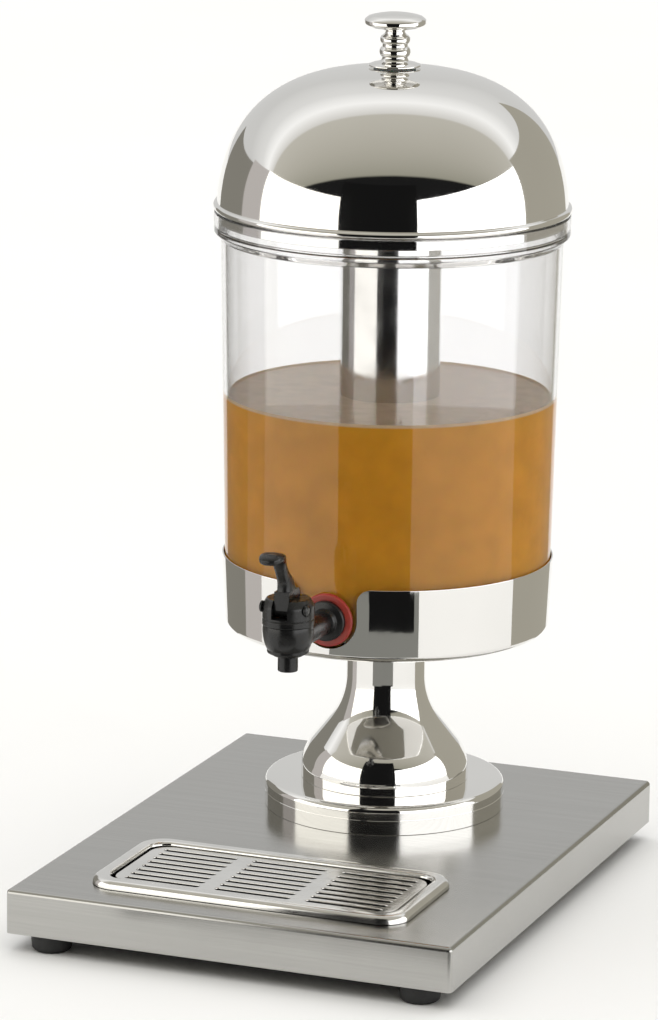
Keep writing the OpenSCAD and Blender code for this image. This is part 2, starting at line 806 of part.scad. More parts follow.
module drip_pan() {
    lip_t = pan_t;
    color("silver") translate([0, pan_y, 0]) difference() {
        union() {
            // flange with a turned-down lip
            difference() {
                translate([0, 0, pan_z]) linear_extrude(pan_top - pan_z)
                    round_rect(pan_w, pan_d, pan_r);
                translate([0, 0, pan_z - 1]) linear_extrude(pan_top - pan_z + 1 - pan_t)
                    round_rect(pan_w - 2 * lip_t, pan_d - 2 * lip_t, pan_r - lip_t);
            }
            translate([0, 0, pan_floor_z]) linear_extrude(pan_top - pan_floor_z)
                round_rect(well_w, well_d, well_r);
        }
        difference() {
            translate([0, 0, pan_floor_z + pan_t]) linear_extrude(base_h + pan_top)
                round_rect(well_w - 2 * pan_t, well_d - 2 * pan_t, well_r - pan_t);
            // ledges that carry the grille
            for (sy = [-1, 1])
                translate([0, sy * (well_d / 2 - pan_t - ledge_w / 2 + eps), ledge_z - ledge_t / 2])
                    cube([ledge_l, ledge_w, ledge_t], center = true);
        }
    }
}

module grille_slots() {
    slot_l = (grille_w - 2 * slot_end_margin - (slot_columns - 1) * slot_web) / slot_columns;
    row_pitch = (grille_d - 2 * slot_side_margin - slot_w) / (slot_rows - 1);
    for (i = [0:slot_columns - 1], j = [0:slot_rows - 1])
        translate([(i - (slot_columns - 1) / 2) * (slot_l + slot_web),
                   (j - (slot_rows - 1) / 2) * row_pitch])
            round_rect(slot_l, slot_w, slot_w / 2 - eps);
}

module drip_grille() {
    color("silver") translate([0, pan_y, grille_z]) linear_extrude(grille_t) difference() {
        round_rect(grille_w, grille_d, grille_r);
        grille_slots();
    }
}

base_plate();
base_stiffener();
foot_front_left();
foot_front_right();
foot_rear_left();
foot_rear_right();
foot_screws();
foot_nuts();
column_ring();
column();
cradle();
cradle_pad();
tie_rod();
tie_rod_washer();
tie_rod_nut();
container();
tap_body();
tap_outer_washer();
tap_inner_washer();
tap_backnut();
tap_bonnet();
tap_lever_pin();
tap_spring();
tap_lever();
tap_stem();
tap_stem_pin();
tap_seat_cup();
lid_dome();
lid_knob();
lid_knob_washer();
lid_knob_screw();
ice_tube_socket();
ice_tube();
drip_pan();
drip_grille();
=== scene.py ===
"""Looks of a countertop beverage dispenser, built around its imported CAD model."""

import math

import bmesh
import bpy
from bpy.props import FloatProperty, FloatVectorProperty, IntProperty, PointerProperty
from mathutils import Matrix, Vector


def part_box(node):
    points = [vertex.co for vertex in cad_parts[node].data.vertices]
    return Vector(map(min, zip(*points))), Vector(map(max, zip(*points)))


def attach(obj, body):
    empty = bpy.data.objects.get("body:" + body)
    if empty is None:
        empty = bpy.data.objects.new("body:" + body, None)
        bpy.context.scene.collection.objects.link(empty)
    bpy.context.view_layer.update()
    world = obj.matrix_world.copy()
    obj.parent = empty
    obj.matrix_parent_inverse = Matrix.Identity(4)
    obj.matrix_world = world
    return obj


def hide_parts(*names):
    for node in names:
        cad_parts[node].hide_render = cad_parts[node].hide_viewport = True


bl_info = {
    "name": "Beverage Dispenser",
    "version": (1, 0, 0),
    "blender": (4, 5, 0),
    "location": "View3D > Sidebar > Dispenser",
    "description": "Steel, clear plastic and rubber pieces of a countertop beverage dispenser",
    "category": "Object",
}

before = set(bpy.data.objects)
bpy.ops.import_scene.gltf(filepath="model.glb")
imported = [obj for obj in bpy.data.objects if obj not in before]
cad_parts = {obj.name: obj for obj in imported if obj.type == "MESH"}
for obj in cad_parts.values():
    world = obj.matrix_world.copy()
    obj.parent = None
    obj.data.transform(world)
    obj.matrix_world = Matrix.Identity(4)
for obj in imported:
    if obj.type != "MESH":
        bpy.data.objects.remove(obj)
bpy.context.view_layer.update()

MM = 0.001
TURN = 2 * math.pi
LOOKS = "dispenser_"         # keeps the materials' names apart from the CAD model's


# ---- places, read from the frame ----

def node_box(name):
    low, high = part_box(name)
    return Vector(low), Vector(high)


def node_centre(name):
    low, high = node_box(name)
    return (low + high) / 2


AXIS = node_centre("column_ring")                  # the column's axis
AXIS_Y = AXIS.y
BASE_LOW, BASE_HIGH = node_box("base_plate")
RING_LOW, RING_HIGH = node_box("column_ring")
COLUMN_LOW, COLUMN_HIGH = node_box("column")
CRADLE_LOW, CRADLE_HIGH = node_box("cradle")
TANK_LOW, TANK_HIGH = node_box("container")
LID_LOW, LID_HIGH = node_box("lid_dome")
KNOB_LOW, KNOB_HIGH = node_box("lid_knob")
TUBE_LOW, TUBE_HIGH = node_box("ice_tube")
PAN_LOW, PAN_HIGH = node_box("drip_pan")
GRILLE_LOW, GRILLE_HIGH = node_box("drip_grille")
WASHER_LOW, WASHER_HIGH = node_box("tap_outer_washer")
VALVE_LOW, VALVE_HIGH = node_box("tap_body")
BONNET_LOW, BONNET_HIGH = node_box("tap_bonnet")
PIN = node_centre("tap_lever_pin")
VALVE_Y = node_centre("tap_bonnet").y
TAP_Z = node_centre("tap_outer_washer").z


# ---- settings that a user would change ----

class DispenserSizes(bpy.types.PropertyGroup):
    juice_level: FloatProperty(
        name="Juice level", description="Height of the drink's surface over the table",
        default=0.278, min=0.18, max=0.36, unit="LENGTH", subtype="DISTANCE")
    hem_radius: FloatProperty(
        name="Hem radius", description="Rounding of the sheet metal's cut edges",
        default=0.0004, min=0.0001, max=0.0006, unit="LENGTH", subtype="DISTANCE")
    spin_steps: IntProperty(
        name="Spin steps", description="Steps round each turned piece", default=144, min=48, max=256)
    bubble_count: IntProperty(
        name="Bubbles", description="Small bubbles on the drink's surface", default=26, min=0, max=80)


class DispenserColours(bpy.types.PropertyGroup):
    polished: FloatVectorProperty(
        name="Polished steel", description="Colour of the mirror-polished steel",
        default=(0.86, 0.85, 0.83), size=3, min=0, max=1, subtype="COLOR")
    satin: FloatVectorProperty(
        name="Satin steel", description="Colour of the base's sheet",
        default=(0.475, 0.47, 0.452), size=3, min=0, max=1, subtype="COLOR")
    juice: FloatVectorProperty(
        name="Juice", description="Colour of the drink",
        default=(0.78, 0.38, 0.036), size=3, min=0, max=1, subtype="COLOR")
    # pale colour of the drink's top surface: a painted reflection
    painted_sheen: FloatVectorProperty(
        name="Juice surface", description="Colour of the thin foam on the drink",
        default=(0.80, 0.59, 0.40), size=3, min=0, max=1, subtype="COLOR")
    washer: FloatVectorProperty(
        name="Washer", description="Colour of the tap's outer washer",
        default=(0.42, 0.045, 0.03), size=3, min=0, max=1, subtype="COLOR")


# ---- outlines ----

def arc(x, z, r, start, end, steps=8):
    """Points of an arc round (x, z), in degrees from +x."""
    turn = [math.radians(start + (end - start) * i / steps) for i in range(steps + 1)]
    return [(x + r * math.cos(a), z + r * math.sin(a)) for a in turn]


def rounded(points, closed=True, steps=6):
    """An outline with its corners rounded: each point is (x, z) or (x, z, radius)."""
    out = []
    count = len(points)
    for i, point in enumerate(points):
        here = Vector(point[:2])
        radius = point[2] if len(point) > 2 else 0
        at_end = not closed and i in (0, count - 1)
        if radius <= 0 or at_end:
            out.append(tuple(here))
            continue
        before = Vector(points[i - 1][:2]) - here
        after = Vector(points[(i + 1) % count][:2]) - here
        half = before.angle(after) / 2
        reach = min(radius / math.tan(half), before.length * 0.49, after.length * 0.49)
        radius = reach * math.tan(half)
        centre = here + (before.normalized() + after.normalized()).normalized() * (radius / math.sin(half))
        first = here + before.normalized() * reach - centre
        last = here + after.normalized() * reach - centre
        sweep = first.angle_signed(last)
        for k in range(steps + 1):
            turned = first.copy()
            turned.rotate(Matrix.Rotation(-sweep * k / steps, 2))
            out.append(tuple(centre + turned))
    return out


def split_long(points, longest):
    """The same outline with its long stretches cut shorter."""
    out = []
    for a, b in zip(points, points[1:] + points[:1]):
        a, b = Vector(a), Vector(b)
        parts = max(1, math.ceil((b - a).length / longest))
        out += [tuple(a.lerp(b, k / parts)) for k in range(parts)]
    return out


# ---- meshes ----

def finish_mesh(bm, name, material, sharp=35):
    """Makes a smooth-shaded object from a bmesh, with its sharper edges kept sharp."""
    bmesh.ops.remove_doubles(bm, verts=bm.verts, dist=1e-6)
    bmesh.ops.recalc_face_normals(bm, faces=bm.faces)
    shade(bm, sharp)
    mesh = bpy.data.meshes.new(name)
    bm.to_mesh(mesh)
    bm.free()
    mesh.materials.append(material)
    piece = bpy.data.objects.new(name, mesh)
    bpy.context.scene.collection.objects.link(piece)
    return piece


def spin(bm, outline, steps, centre=(0, 0, 0), axis=(0, 0, 1)):
    """Spins a closed outline of (radius, height) round an axis and returns the new vertices."""
    turn = Vector((0, 0, 1)).rotation_difference(Vector(axis)).to_matrix().to_4x4()
    place = Matrix.Translation(centre) @ turn
    old = set(bm.verts)
    verts = [bm.verts.new((r, 0, z)) for r, z in outline]
    edges = []
    for a, b in zip(verts, verts[1:] + verts[:1]):
        if a.co.x > 1e-7 or b.co.x > 1e-7:
            edges.append(bm.edges.new((a, b)))
    bmesh.ops.spin(bm, geom=verts + edges, cent=(0, 0, 0), axis=(0, 0, 1), angle=TURN,
                   steps=steps, use_merge=True, use_duplicate=False)
    made = [v for v in bm.verts if v not in old]
    bmesh.ops.remove_doubles(bm, verts=made, dist=1e-6)
    made = [v for v in bm.verts if v not in old]
    bmesh.ops.transform(bm, matrix=place, verts=made)
    return made


def turned(name, outline, material, steps=None, centre=None, axis=(0, 0, 1), sharp=35):
    """A turned or spun piece."""
    sizes = bpy.context.scene.dispenser_sizes
    bm = bmesh.new()
    spin(bm, outline, steps or sizes.spin_steps, centre or (AXIS.x, AXIS_Y, 0), axis)
    return finish_mesh(bm, name, material, sharp)


def round_rect_ring(bm, width, depth, radius, z, centre=(0, 0), per_corner=12):
    """A loop of edges round a rectangle with round corners."""
    made = bmesh.ops.create_circle(bm, cap_ends=False, segments=4 * per_corner, radius=radius)["verts"]
    half_step = Matrix.Rotation(TURN / (8 * per_corner), 4, "Z")
    bmesh.ops.transform(bm, matrix=half_step, verts=made)
    for vert in made:
        x = math.copysign(width / 2 - radius, vert.co.x) + vert.co.x + centre[0]
        y = math.copysign(depth / 2 - radius, vert.co.y) + vert.co.y + centre[1]
        vert.co = (x, y, z)
    return loop_edges(bm, made)


def bridge(bm, rings):
    """Bridges loops of edges one after another."""
    for first, second in zip(rings, rings[1:]):
        bmesh.ops.bridge_loops(bm, edges=first + second)


def loft(bm, rings):
    """Bridges loops one after another and caps both ends."""
    bridge(bm, rings)
    for ring in (rings[0], rings[-1]):
        bmesh.ops.contextual_create(bm, geom=ring)


def loop_edges(bm, verts):
    inside = set(verts)
    return [e for e in bm.edges if e.verts[0] in inside and e.verts[1] in inside]


def push(bm, faces, vec):
    """Extrudes faces along a vector."""
    pushed = bmesh.ops.extrude_face_region(bm, geom=faces)["geom"]
    bmesh.ops.translate(bm, vec=vec, verts=[v for v in pushed if isinstance(v, bmesh.types.BMVert)])


def add_block(bm, centre, size):
    place = Matrix.Translation(centre) @ Matrix.Diagonal((*size, 1))
    bmesh.ops.create_cube(bm, size=1, matrix=place)


def shade(bm, sharp):
    """Smooth shading, with edges kept sharp from an angle on."""
    for face in bm.faces:
        face.smooth = True
    for edge in bm.edges:
        edge.smooth = edge.calc_face_angle(0) < math.radians(sharp)


def boolean(piece, other, operation="DIFFERENCE"):
    """Applies a boolean with another object, which it deletes."""
    step = piece.modifiers.new("cut", "BOOLEAN")
    step.operation = operation
    step.solver = "MANIFOLD"
    step.object = other
    bpy.context.view_layer.update()
    shape = piece.evaluated_get(bpy.context.evaluated_depsgraph_get())
    mesh = bpy.data.meshes.new_from_object(shape)
    piece.modifiers.clear()
    old = piece.data
    piece.data = mesh
    mesh.name = piece.name
    for face in mesh.polygons:
        face.material_index = 0
    while len(mesh.materials) > 1:
        mesh.materials.pop()
    bpy.data.meshes.remove(old)
    bpy.data.objects.remove(other, do_unlink=True)


def soften(piece, width, angle=50, sharp=35):
    """Rounds the sharp edges that a boolean left, and shades the piece again."""
    bm = bmesh.new()
    bm.from_mesh(piece.data)
    bmesh.ops.remove_doubles(bm, verts=bm.verts, dist=1e-6)
    bmesh.ops.dissolve_degenerate(bm, edges=bm.edges, dist=1e-6)
    if width > 0:
        edges = [e for e in bm.edges if e.is_manifold and e.calc_face_angle(0) > math.radians(angle)]
        bmesh.ops.bevel(bm, geom=edges, offset=width, offset_type="OFFSET", affect="EDGES",
                        segments=2, profile=0.5, material=-1, clamp_overlap=True)
    shade(bm, sharp)
    bm.to_mesh(piece.data)
    bm.free()


def cylinder_tool(radius, start, end, steps=64):
    """A plain cylinder between two points, for a boolean."""
    start, end = Vector(start), Vector(end)
    along = end - start
    bm = bmesh.new()
    spin(bm, [(0, 0), (radius, 0), (radius, along.length), (0, along.length)], steps, start, along)
    return finish_mesh(bm, "tool", tool_material())


def block_tool(low, high):
    """A plain block between two corners, for a boolean."""
    low, high = Vector(low), Vector(high)
    bm = bmesh.new()
    add_block(bm, (low + high) / 2, high - low)
    return finish_mesh(bm, "tool", tool_material())


def tool_material():
    return bpy.data.materials.get("tool") or bpy.data.materials.new("tool")


# ---- materials ----

def new_material(name, **sockets):
    """A Principled material with constant sockets, and its nodes and links."""
    material = bpy.data.materials.new(LOOKS + name)
    material.use_nodes = True
    shader = material.node_tree.nodes["Principled BSDF"]
    for key, value in sockets.items():
        shader.inputs[key.replace("_", " ")].default_value = value
    return material, material.node_tree.nodes, material.node_tree.links, shader


def noise(nodes, links, scale, detail=4, stretch=(1, 1, 1)):
    """Noise on Object coordinates, in metres."""
    place = nodes.new("ShaderNodeTexCoord")
    mapping = nodes.new("ShaderNodeMapping")
    mapping.inputs["Scale"].default_value = stretch
    texture = nodes.new("ShaderNodeTexNoise")
    texture.inputs["Scale"].default_value = scale
    texture.inputs["Detail"].default_value = detail
    links.new(place.outputs["Object"], mapping.inputs["Vector"])
    links.new(mapping.outputs["Vector"], texture.inputs["Vector"])
    return texture.outputs["Fac"]


def ramp(nodes, links, source, stops):
    """A colour ramp: stops are (position, value or colour)."""
    node = nodes.new("ShaderNodeValToRGB")
    while len(node.color_ramp.elements) < len(stops):
        node.color_ramp.elements.new(0.5)
    for element, (position, value) in zip(node.color_ramp.elements, stops):
        element.position = position
        element.color = (value, value, value, 1) if isinstance(value, float) else (*value, 1)
    links.new(source, node.inputs["Fac"])
    return node.outputs["Color"]


def bump(nodes, links, shader, source, strength, distance):
    node = nodes.new("ShaderNodeBump")
    node.inputs["Strength"].default_value = strength
    node.inputs["Distance"].default_value = distance
    links.new(source, node.inputs["Height"])
    links.new(node.outputs["Normal"], shader.inputs["Normal"])


def tinted(colour, factor):
    return tuple(min(1.0, c * factor) for c in colour)


def tints(colour, low, high, first=0.3, last=0.7):
    """Ramp stops from a darker to a lighter shade of a colour."""
    return [(first, tinted(colour, low)), (last, tinted(colour, high))]


def dress(parts, pattern, colours, wear, gloss, relief=None, strength=0.0, depth=0.0):
    """Takes colour from one pattern, roughness from another and relief from a third."""
    material, nodes, links, shader = parts
    links.new(ramp(nodes, links, pattern, colours), shader.inputs["Base Color"])
    links.new(ramp(nodes, links, wear, gloss), shader.inputs["Roughness"])
    if relief:
        bump(nodes, links, shader, relief, strength, depth)
    return material


def polished_steel():
    parts = new_material("polished_steel", Metallic=1.0)
    _, nodes, links, _ = parts
    return dress(parts, noise(nodes, links, 9, 3), tints(bpy.context.scene.dispenser_colours.polished, 0.97, 1.02),
                 noise(nodes, links, 26, 6, (1, 1, 0.35)), [(0.35, 0.025), (0.7, 0.07)],
                 noise(nodes, links, 60, 2), 0.012, 0.001)


def tube_steel():
    """Drawn steel: less polished than the spun pieces, with handling marks."""
    parts = new_material("tube_steel", Metallic=1.0)
    _, nodes, links, _ = parts
    marks = noise(nodes, links, 90, 8, (1, 1, 0.5))
    return dress(parts, noise(nodes, links, 25, 6), tints(bpy.context.scene.dispenser_colours.polished, 0.8, 0.96),
                 marks, [(0.35, 0.09), (0.7, 0.2)], marks, 0.05, 0.0003)


def satin_steel():
    """Brushed sheet: the grain runs across the base."""
    parts = new_material("satin_steel", Metallic=1.0)
    _, nodes, links, _ = parts
    grain = noise(nodes, links, 900, 3, (0.012, 1, 1))
    return dress(parts, grain, tints(bpy.context.scene.dispenser_colours.satin, 0.93, 1.05, 0.25, 0.75),
                 noise(nodes, links, 14, 8), [(0.3, 0.16), (0.72, 0.26)], grain, 0.05, 0.0002)


def tray_steel():
    """Pressed steel with fine scuffs from cleaning."""
    parts = new_material("tray_steel", Metallic=1.0)
    _, nodes, links, _ = parts
    scuff = noise(nodes, links, 300, 6, (0.1, 1, 1))
    return dress(parts, noise(nodes, links, 40, 5), tints(bpy.context.scene.dispenser_colours.polished, 0.88, 0.99),
                 scuff, [(0.3, 0.09), (0.75, 0.2)], scuff, 0.04, 0.0002)


def plain_steel():
    parts = new_material("plain_steel", Metallic=1.0)
    _, nodes, links, _ = parts
    grain = noise(nodes, links, 500, 4)
    return dress(parts, grain, [(0.3, 0.42), (0.7, 0.56)], grain, [(0.2, 0.26), (0.8, 0.42)], grain, 0.08, 0.0002)


def clear_plastic():
    parts = new_material("clear_plastic", Transmission_Weight=1.0, IOR=1.49)
    _, nodes, links, _ = parts
    haze = noise(nodes, links, 12, 5, (1, 1, 0.3))
    return dress(parts, haze, [(0.3, (0.925, 0.924, 0.935)), (0.75, (0.95, 0.95, 0.958))],
                 haze, [(0.45, 0.0), (0.9, 0.06)])


def juice_material():
    """Orange juice: pulpy body, and a paler painted reflection where the surface is."""
    colours = bpy.context.scene.dispenser_colours
    sizes = bpy.context.scene.dispenser_sizes
    material, nodes, links, shader = new_material(
        "juice", Subsurface_Weight=0.25, Subsurface_Radius=(0.012, 0.005, 0.0015), Subsurface_Scale=1.0,
        Roughness=0.22, IOR=1.34, Specular_IOR_Level=0.2)
    body = ramp(nodes, links, noise(nodes, links, 55, 8), tints(colours.juice, 0.92, 1.08))
    # the top surface gets a paler colour over the body's colour: a painted reflection
    fine_noise = noise(nodes, links, 120, 6)
    painted_sheen = ramp(nodes, links, fine_noise, tints(colours.painted_sheen, 0.93, 1.06))
    place = nodes.new("ShaderNodeTexCoord")
    split = nodes.new("ShaderNodeSeparateXYZ")
    links.new(place.outputs["Object"], split.inputs["Vector"])
    # mask of the top surface, where the painted reflection goes
    height = nodes.new("ShaderNodeMapRange")
    height.inputs["From Min"].default_value = sizes.juice_level - 0.0012
    height.inputs["From Max"].default_value = sizes.juice_level - 0.0002
    links.new(split.outputs["Z"], height.inputs["Value"])
    mix = nodes.new("ShaderNodeMix")
    mix.data_type = "RGBA"
    links.new(height.outputs["Result"], mix.inputs["Factor"])
    colour_a, colour_b = [socket for socket in mix.inputs if socket.type == "RGBA"]
    links.new(body, colour_a)
    links.new(painted_sheen, colour_b)
    mixed = next(socket for socket in mix.outputs if socket.type == "RGBA")
    links.new(mixed, shader.inputs["Base Color"])
    bump(nodes, links, shader, fine_noise, 0.06, 0.0003)
    return material


def moulded_plastic():
    parts = new_material("black_plastic", IOR=1.5)
    _, nodes, links, _ = parts
    cloud = noise(nodes, links, 90, 4)
    return dress(parts, cloud, [(0.3, 0.008), (0.7, 0.014)], cloud, [(0.3, 0.2), (0.75, 0.34)],
                 noise(nodes, links, 2400, 2), 0.05, 0.0001)


def black_rubber():
    parts = new_material("black_rubber")
    _, nodes, links, _ = parts
    grain = noise(nodes, links, 1600, 5)
    dust = noise(nodes, links, 60, 5)
    return dress(parts, dust, [(0.3, 0.010), (0.75, 0.022)], grain, [(0.3, 0.55), (0.7, 0.75)], grain, 0.15, 0.0002)


def silicone(name, colour, weight):
    parts = new_material(name, Subsurface_Weight=weight, Subsurface_Radius=(0.004, 0.0015, 0.001),
                         Subsurface_Scale=1.0)
    _, nodes, links, _ = parts
    cloud = noise(nodes, links, 150, 4)
    return dress(parts, cloud, tints(colour, 0.9, 1.1), cloud, [(0.3, 0.3), (0.7, 0.45)])


MAKERS = {
    "polished_steel": polished_steel,
    "tube_steel": tube_steel,
    "satin_steel": satin_steel,
    "tray_steel": tray_steel,
    "plain_steel": plain_steel,
    "clear_plastic": clear_plastic,
    "juice": juice_material,
    "black_plastic": moulded_plastic,
    "black_rubber": black_rubber,
    "red_silicone": lambda: silicone("red_silicone", tuple(bpy.context.scene.dispenser_colours.washer), 0.5),
    "white_silicone": lambda: silicone("white_silicone", (0.72, 0.72, 0.70), 0.4),
}


def material(name):
    return bpy.data.materials.get(LOOKS + name) or MAKERS[name]()


def stand_for(piece, body, slot, *nodes):
    """Says what a new piece rides on, and which CAD nodes it stands for; its finish argument is not used."""
    normals = piece.modifiers.new("weighted_normals", "WEIGHTED_NORMAL")
    normals.keep_sharp = True
    normals.weight = 90
    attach(piece, body)
    if nodes:
        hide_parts(*nodes)


# ---- base ----

def make_base():
    sheet = 1.2 * MM
    fold = 2.5 * MM
    lip = 14 * MM
    hole_w, hole_d, hole_r = 172.4 * MM, 76.4 * MM, 13 * MM
    width, depth = BASE_HIGH.x - BASE_LOW.x, BASE_HIGH.y - BASE_LOW.y
    low, top = BASE_LOW.z, BASE_HIGH.z
    pan = (PAN_LOW + PAN_HIGH) / 2
    hole_at = (pan.x, pan.y)
    bm = bmesh.new()

    def outer(inset, z):
        return round_rect_ring(bm, width - 2 * inset, depth - 2 * inset, max(fold - inset, 0.2 * MM), z)

    edge = 0.3 * MM
    skirt = [outer(0, low)]
    for inset, height in arc(0, 0, fold, 0, 90, 6):
        skirt.append(outer(fold - inset, top - fold + height))
    skirt.append(outer(fold + 0.8 * MM, top))
    opening = [round_rect_ring(bm, hole_w + edge, hole_d + edge, hole_r, top, hole_at),
               round_rect_ring(bm, hole_w, hole_d, hole_r, top - edge / 2, hole_at),
               round_rect_ring(bm, hole_w, hole_d, hole_r, top - sheet, hole_at)]
    lining = [outer(fold + 0.8 * MM, top - sheet)]
    for inset, height in reversed(arc(0, 0, fold - sheet, 0, 90, 4)):
        lining.append(outer(fold - inset, top - fold + height))
    lining += [outer(sheet, low + sheet), outer(lip, low + sheet), outer(lip, low)]
    for rings in (skirt, opening, lining, [lining[-1], skirt[0]]):
        bridge(bm, rings)
    for around, hole in ((skirt[-1], opening[0]), (lining[0], opening[-1])):
        bmesh.ops.triangle_fill(bm, edges=around + hole, use_beauty=True, use_dissolve=False)
    pad = 42 * MM
    reach = pad - lip
    for sx in (-1, 1):
        for sy in (-1, 1):
            x, y = sx * (width / 2 - lip - reach / 2), sy * (depth / 2 - lip - reach / 2)
            add_block(bm, (x, y, low + sheet / 2), (reach + 1 * MM, reach + 1 * MM, sheet))
    piece = finish_mesh(bm, "base_sheet", material("satin_steel"))
    stand_for(piece, "base", "satin_stainless", "base_plate")


def make_feet():
    nodes = ("foot_front_left", "foot_front_right", "foot_rear_left", "foot_rear_right")
    for node in nodes:
        low, high = node_box(node)
        r = (high.x - low.x) / 2
        h = high.z - low.z
        at = (low + high) / 2
        outline = rounded([
            (5 * MM, 0, 0.3 * MM), (r - 0.8 * MM, 0, 2.5 * MM), (r - 0.2 * MM, h * 0.55),
            (r - 0.2 * MM, h - 2.2 * MM, 0.4 * MM), (r, h - 1.8 * MM, 0.3 * MM), (r, h, 0.4 * MM),
            (2.2 * MM, h), (2.2 * MM, h * 0.4), (5 * MM, h * 0.4)])
        piece = turned(node + "_rubber", outline, material("black_rubber"), 64, (at.x, at.y, low.z))
        stand_for(piece, "base", "black_rubber", node)


# ---- column ----

def make_ring():
    r = (RING_HIGH.x - RING_LOW.x) / 2
    low, top = RING_LOW.z, RING_HIGH.z
    sheet = 1.5 * MM
    seam = low + 8.6 * MM
    groove = 0.25 * MM
    outline = rounded([
        (r, low, 0.3 * MM), (r, seam - groove, 0.1 * MM), (r - groove, seam), (r, seam + groove, 0.1 * MM),
        (r, top, 4 * MM), (4.2 * MM, top), (4.2 * MM, top - sheet), (r - sheet, top - sheet, 2.5 * MM),
        (r - sheet, low, 0.3 * MM)], steps=10)
    stand_for(turned("ring_shell", outline, material("polished_steel"), 192), "base",
              "polished_stainless", "column_ring")


def bell_side(depth):
    """The bell and neck's side, at a depth under the outer surface."""
    foot_r = (COLUMN_HIGH.x - COLUMN_LOW.x) / 2 + 0.05 * MM
    neck_r = 22.85 * MM
    shoulder, throat, lean = 28 * MM, 40 * MM, 39
    cos, sin = math.cos(math.radians(lean)), math.sin(math.radians(lean))
    flank = (foot_r - neck_r - (shoulder + throat) * (1 - cos)) / sin
    z1 = COLUMN_LOW.z + 4.5 * MM
    z2 = z1 + (shoulder + throat) * sin + flank * cos
    side = [(foot_r - depth, COLUMN_LOW.z)]
    side += arc(foot_r - shoulder, z1, shoulder - depth, 0, lean, 16)
    side += arc(neck_r + throat, z2, throat + depth, 180 + lean, 180, 20)
    side += [(neck_r - depth, COLUMN_HIGH.z)]
    return side


def make_column():
    sheet = 1.5 * MM
    outer = bell_side(0)
    inner = bell_side(sheet)
    foot_r, foot_z = outer[0]
    lip_r = foot_r - 10 * MM
    lip = [(inner[0][0], foot_z + sheet), (lip_r, foot_z + sheet), (lip_r, foot_z)]
    outline = rounded([(foot_r, foot_z, 0.4 * MM)] + outer[1:] + inner[:0:-1] + lip)
    stand_for(turned("bell_shell", outline, material("polished_steel"), 192), "base",
              "polished_stainless", "column")


def make_cradle():
    sizes = bpy.context.scene.dispenser_sizes
    sheet = 1 * MM
    low, top = CRADLE_LOW.z, CRADLE_HIGH.z
    top_r = (CRADLE_HIGH.x - CRADLE_LOW.x) / 2
    foot_r = top_r - 2.2 * MM
    edge = 4 * MM
    hem = sizes.hem_radius
    outline = rounded([
        (0, low), (foot_r, low, edge), (top_r, top, hem), (top_r - sheet, top, hem),
        (foot_r - sheet, low + sheet, edge - sheet), (0, low + sheet)], steps=8)
    piece = turned("cradle_shell", split_long(outline, 12 * MM), material("polished_steel"), 192)
    notch_r, shoulder = 17 * MM, 8 * MM
    above = top + 4 * MM
    side = [(-notch_r - shoulder - 2 * MM, above), (-notch_r - shoulder, top + 0.1 * MM)]
    side += arc(-notch_r - shoulder, top - shoulder, shoulder, 90, 0, 10)[1:]
    side += arc(0, TAP_Z, notch_r, 180, 360, 28)
    side += arc(notch_r + shoulder, top - shoulder, shoulder, 180, 90, 10)[:-1]
    side += [(notch_r + shoulder, top + 0.1 * MM), (notch_r + shoulder + 2 * MM, above)]
    bm = bmesh.new()
    front = AXIS_Y - top_r - 10 * MM
    face = bm.faces.new([bm.verts.new((x, front, z)) for x, z in side])
    push(bm, [face], (0, top_r, 0))
    boolean(piece, finish_mesh(bm, "tool", tool_material()))
    soften(piece, 0.2 * MM, 55)
    stand_for(piece, "base", "polished_stainless", "cradle")


# ---- container ----

def tank_outline():
    """The container's outline, and the inner wall's radius as a function of height."""
    rim_r = (TANK_HIGH.x - TANK_LOW.x) / 2
    top, low = TANK_HIGH.z, TANK_LOW.z
    seat_z = CRADLE_HIGH.z
    seat_r = rim_r - 7.5 * MM
    wall_top_r = rim_r - 4.1 * MM
    foot_r = seat_r - 2.2 * MM
    wall, floor = 3 * MM, 4 * MM
    rim_z = top - 12 * MM
    cove = 4 * MM
    outline = rounded([
        (0, low), (foot_r, low, 8 * MM), (seat_r, seat_z), (wall_top_r, rim_z - cove, 2 * MM),
        (rim_r, rim_z, 1.6 * MM), (rim_r, top, 1 * MM), (rim_r - 2.9 * MM, top, 0.8 * MM),
        (rim_r - 2.9 * MM, top - 9 * MM, 0.8 * MM), (wall_top_r - wall, top - 11 * MM, 1.5 * MM),
        (seat_r - wall, seat_z), (foot_r - wall, low + floor, 5 * MM), (0, low + floor)], steps=8)

    def inner_r(z):
        if z > seat_z:
            share = (z - seat_z) / (rim_z - cove - seat_z)
            return seat_r - wall + share * (wall_top_r - seat_r)
        share = (z - low - 8 * MM) / (seat_z - low - 8 * MM)
        return foot_r - wall + share * (seat_r - foot_r)

    return outline, inner_r


def make_container():
    outline, _ = tank_outline()
    fine = split_long(outline, 9 * MM)
    piece = turned("container_shell", fine, material("clear_plastic"), 192)
    boss_r = 15.5 * MM
    front = WASHER_HIGH.y
    back = node_box("tap_inner_washer")[0].y
    boss = cylinder_tool(boss_r, (0, front, TAP_Z), (0, back, TAP_Z), 96)
    boolean(piece, boss, "UNION")
    hole = cylinder_tool(8 * MM, (0, front - 2 * MM, TAP_Z), (0, back + 2 * MM, TAP_Z), 64)
    boolean(piece, hole)
    soften(piece, 0)
    stand_for(piece, "container", "clear_plastic", "container")


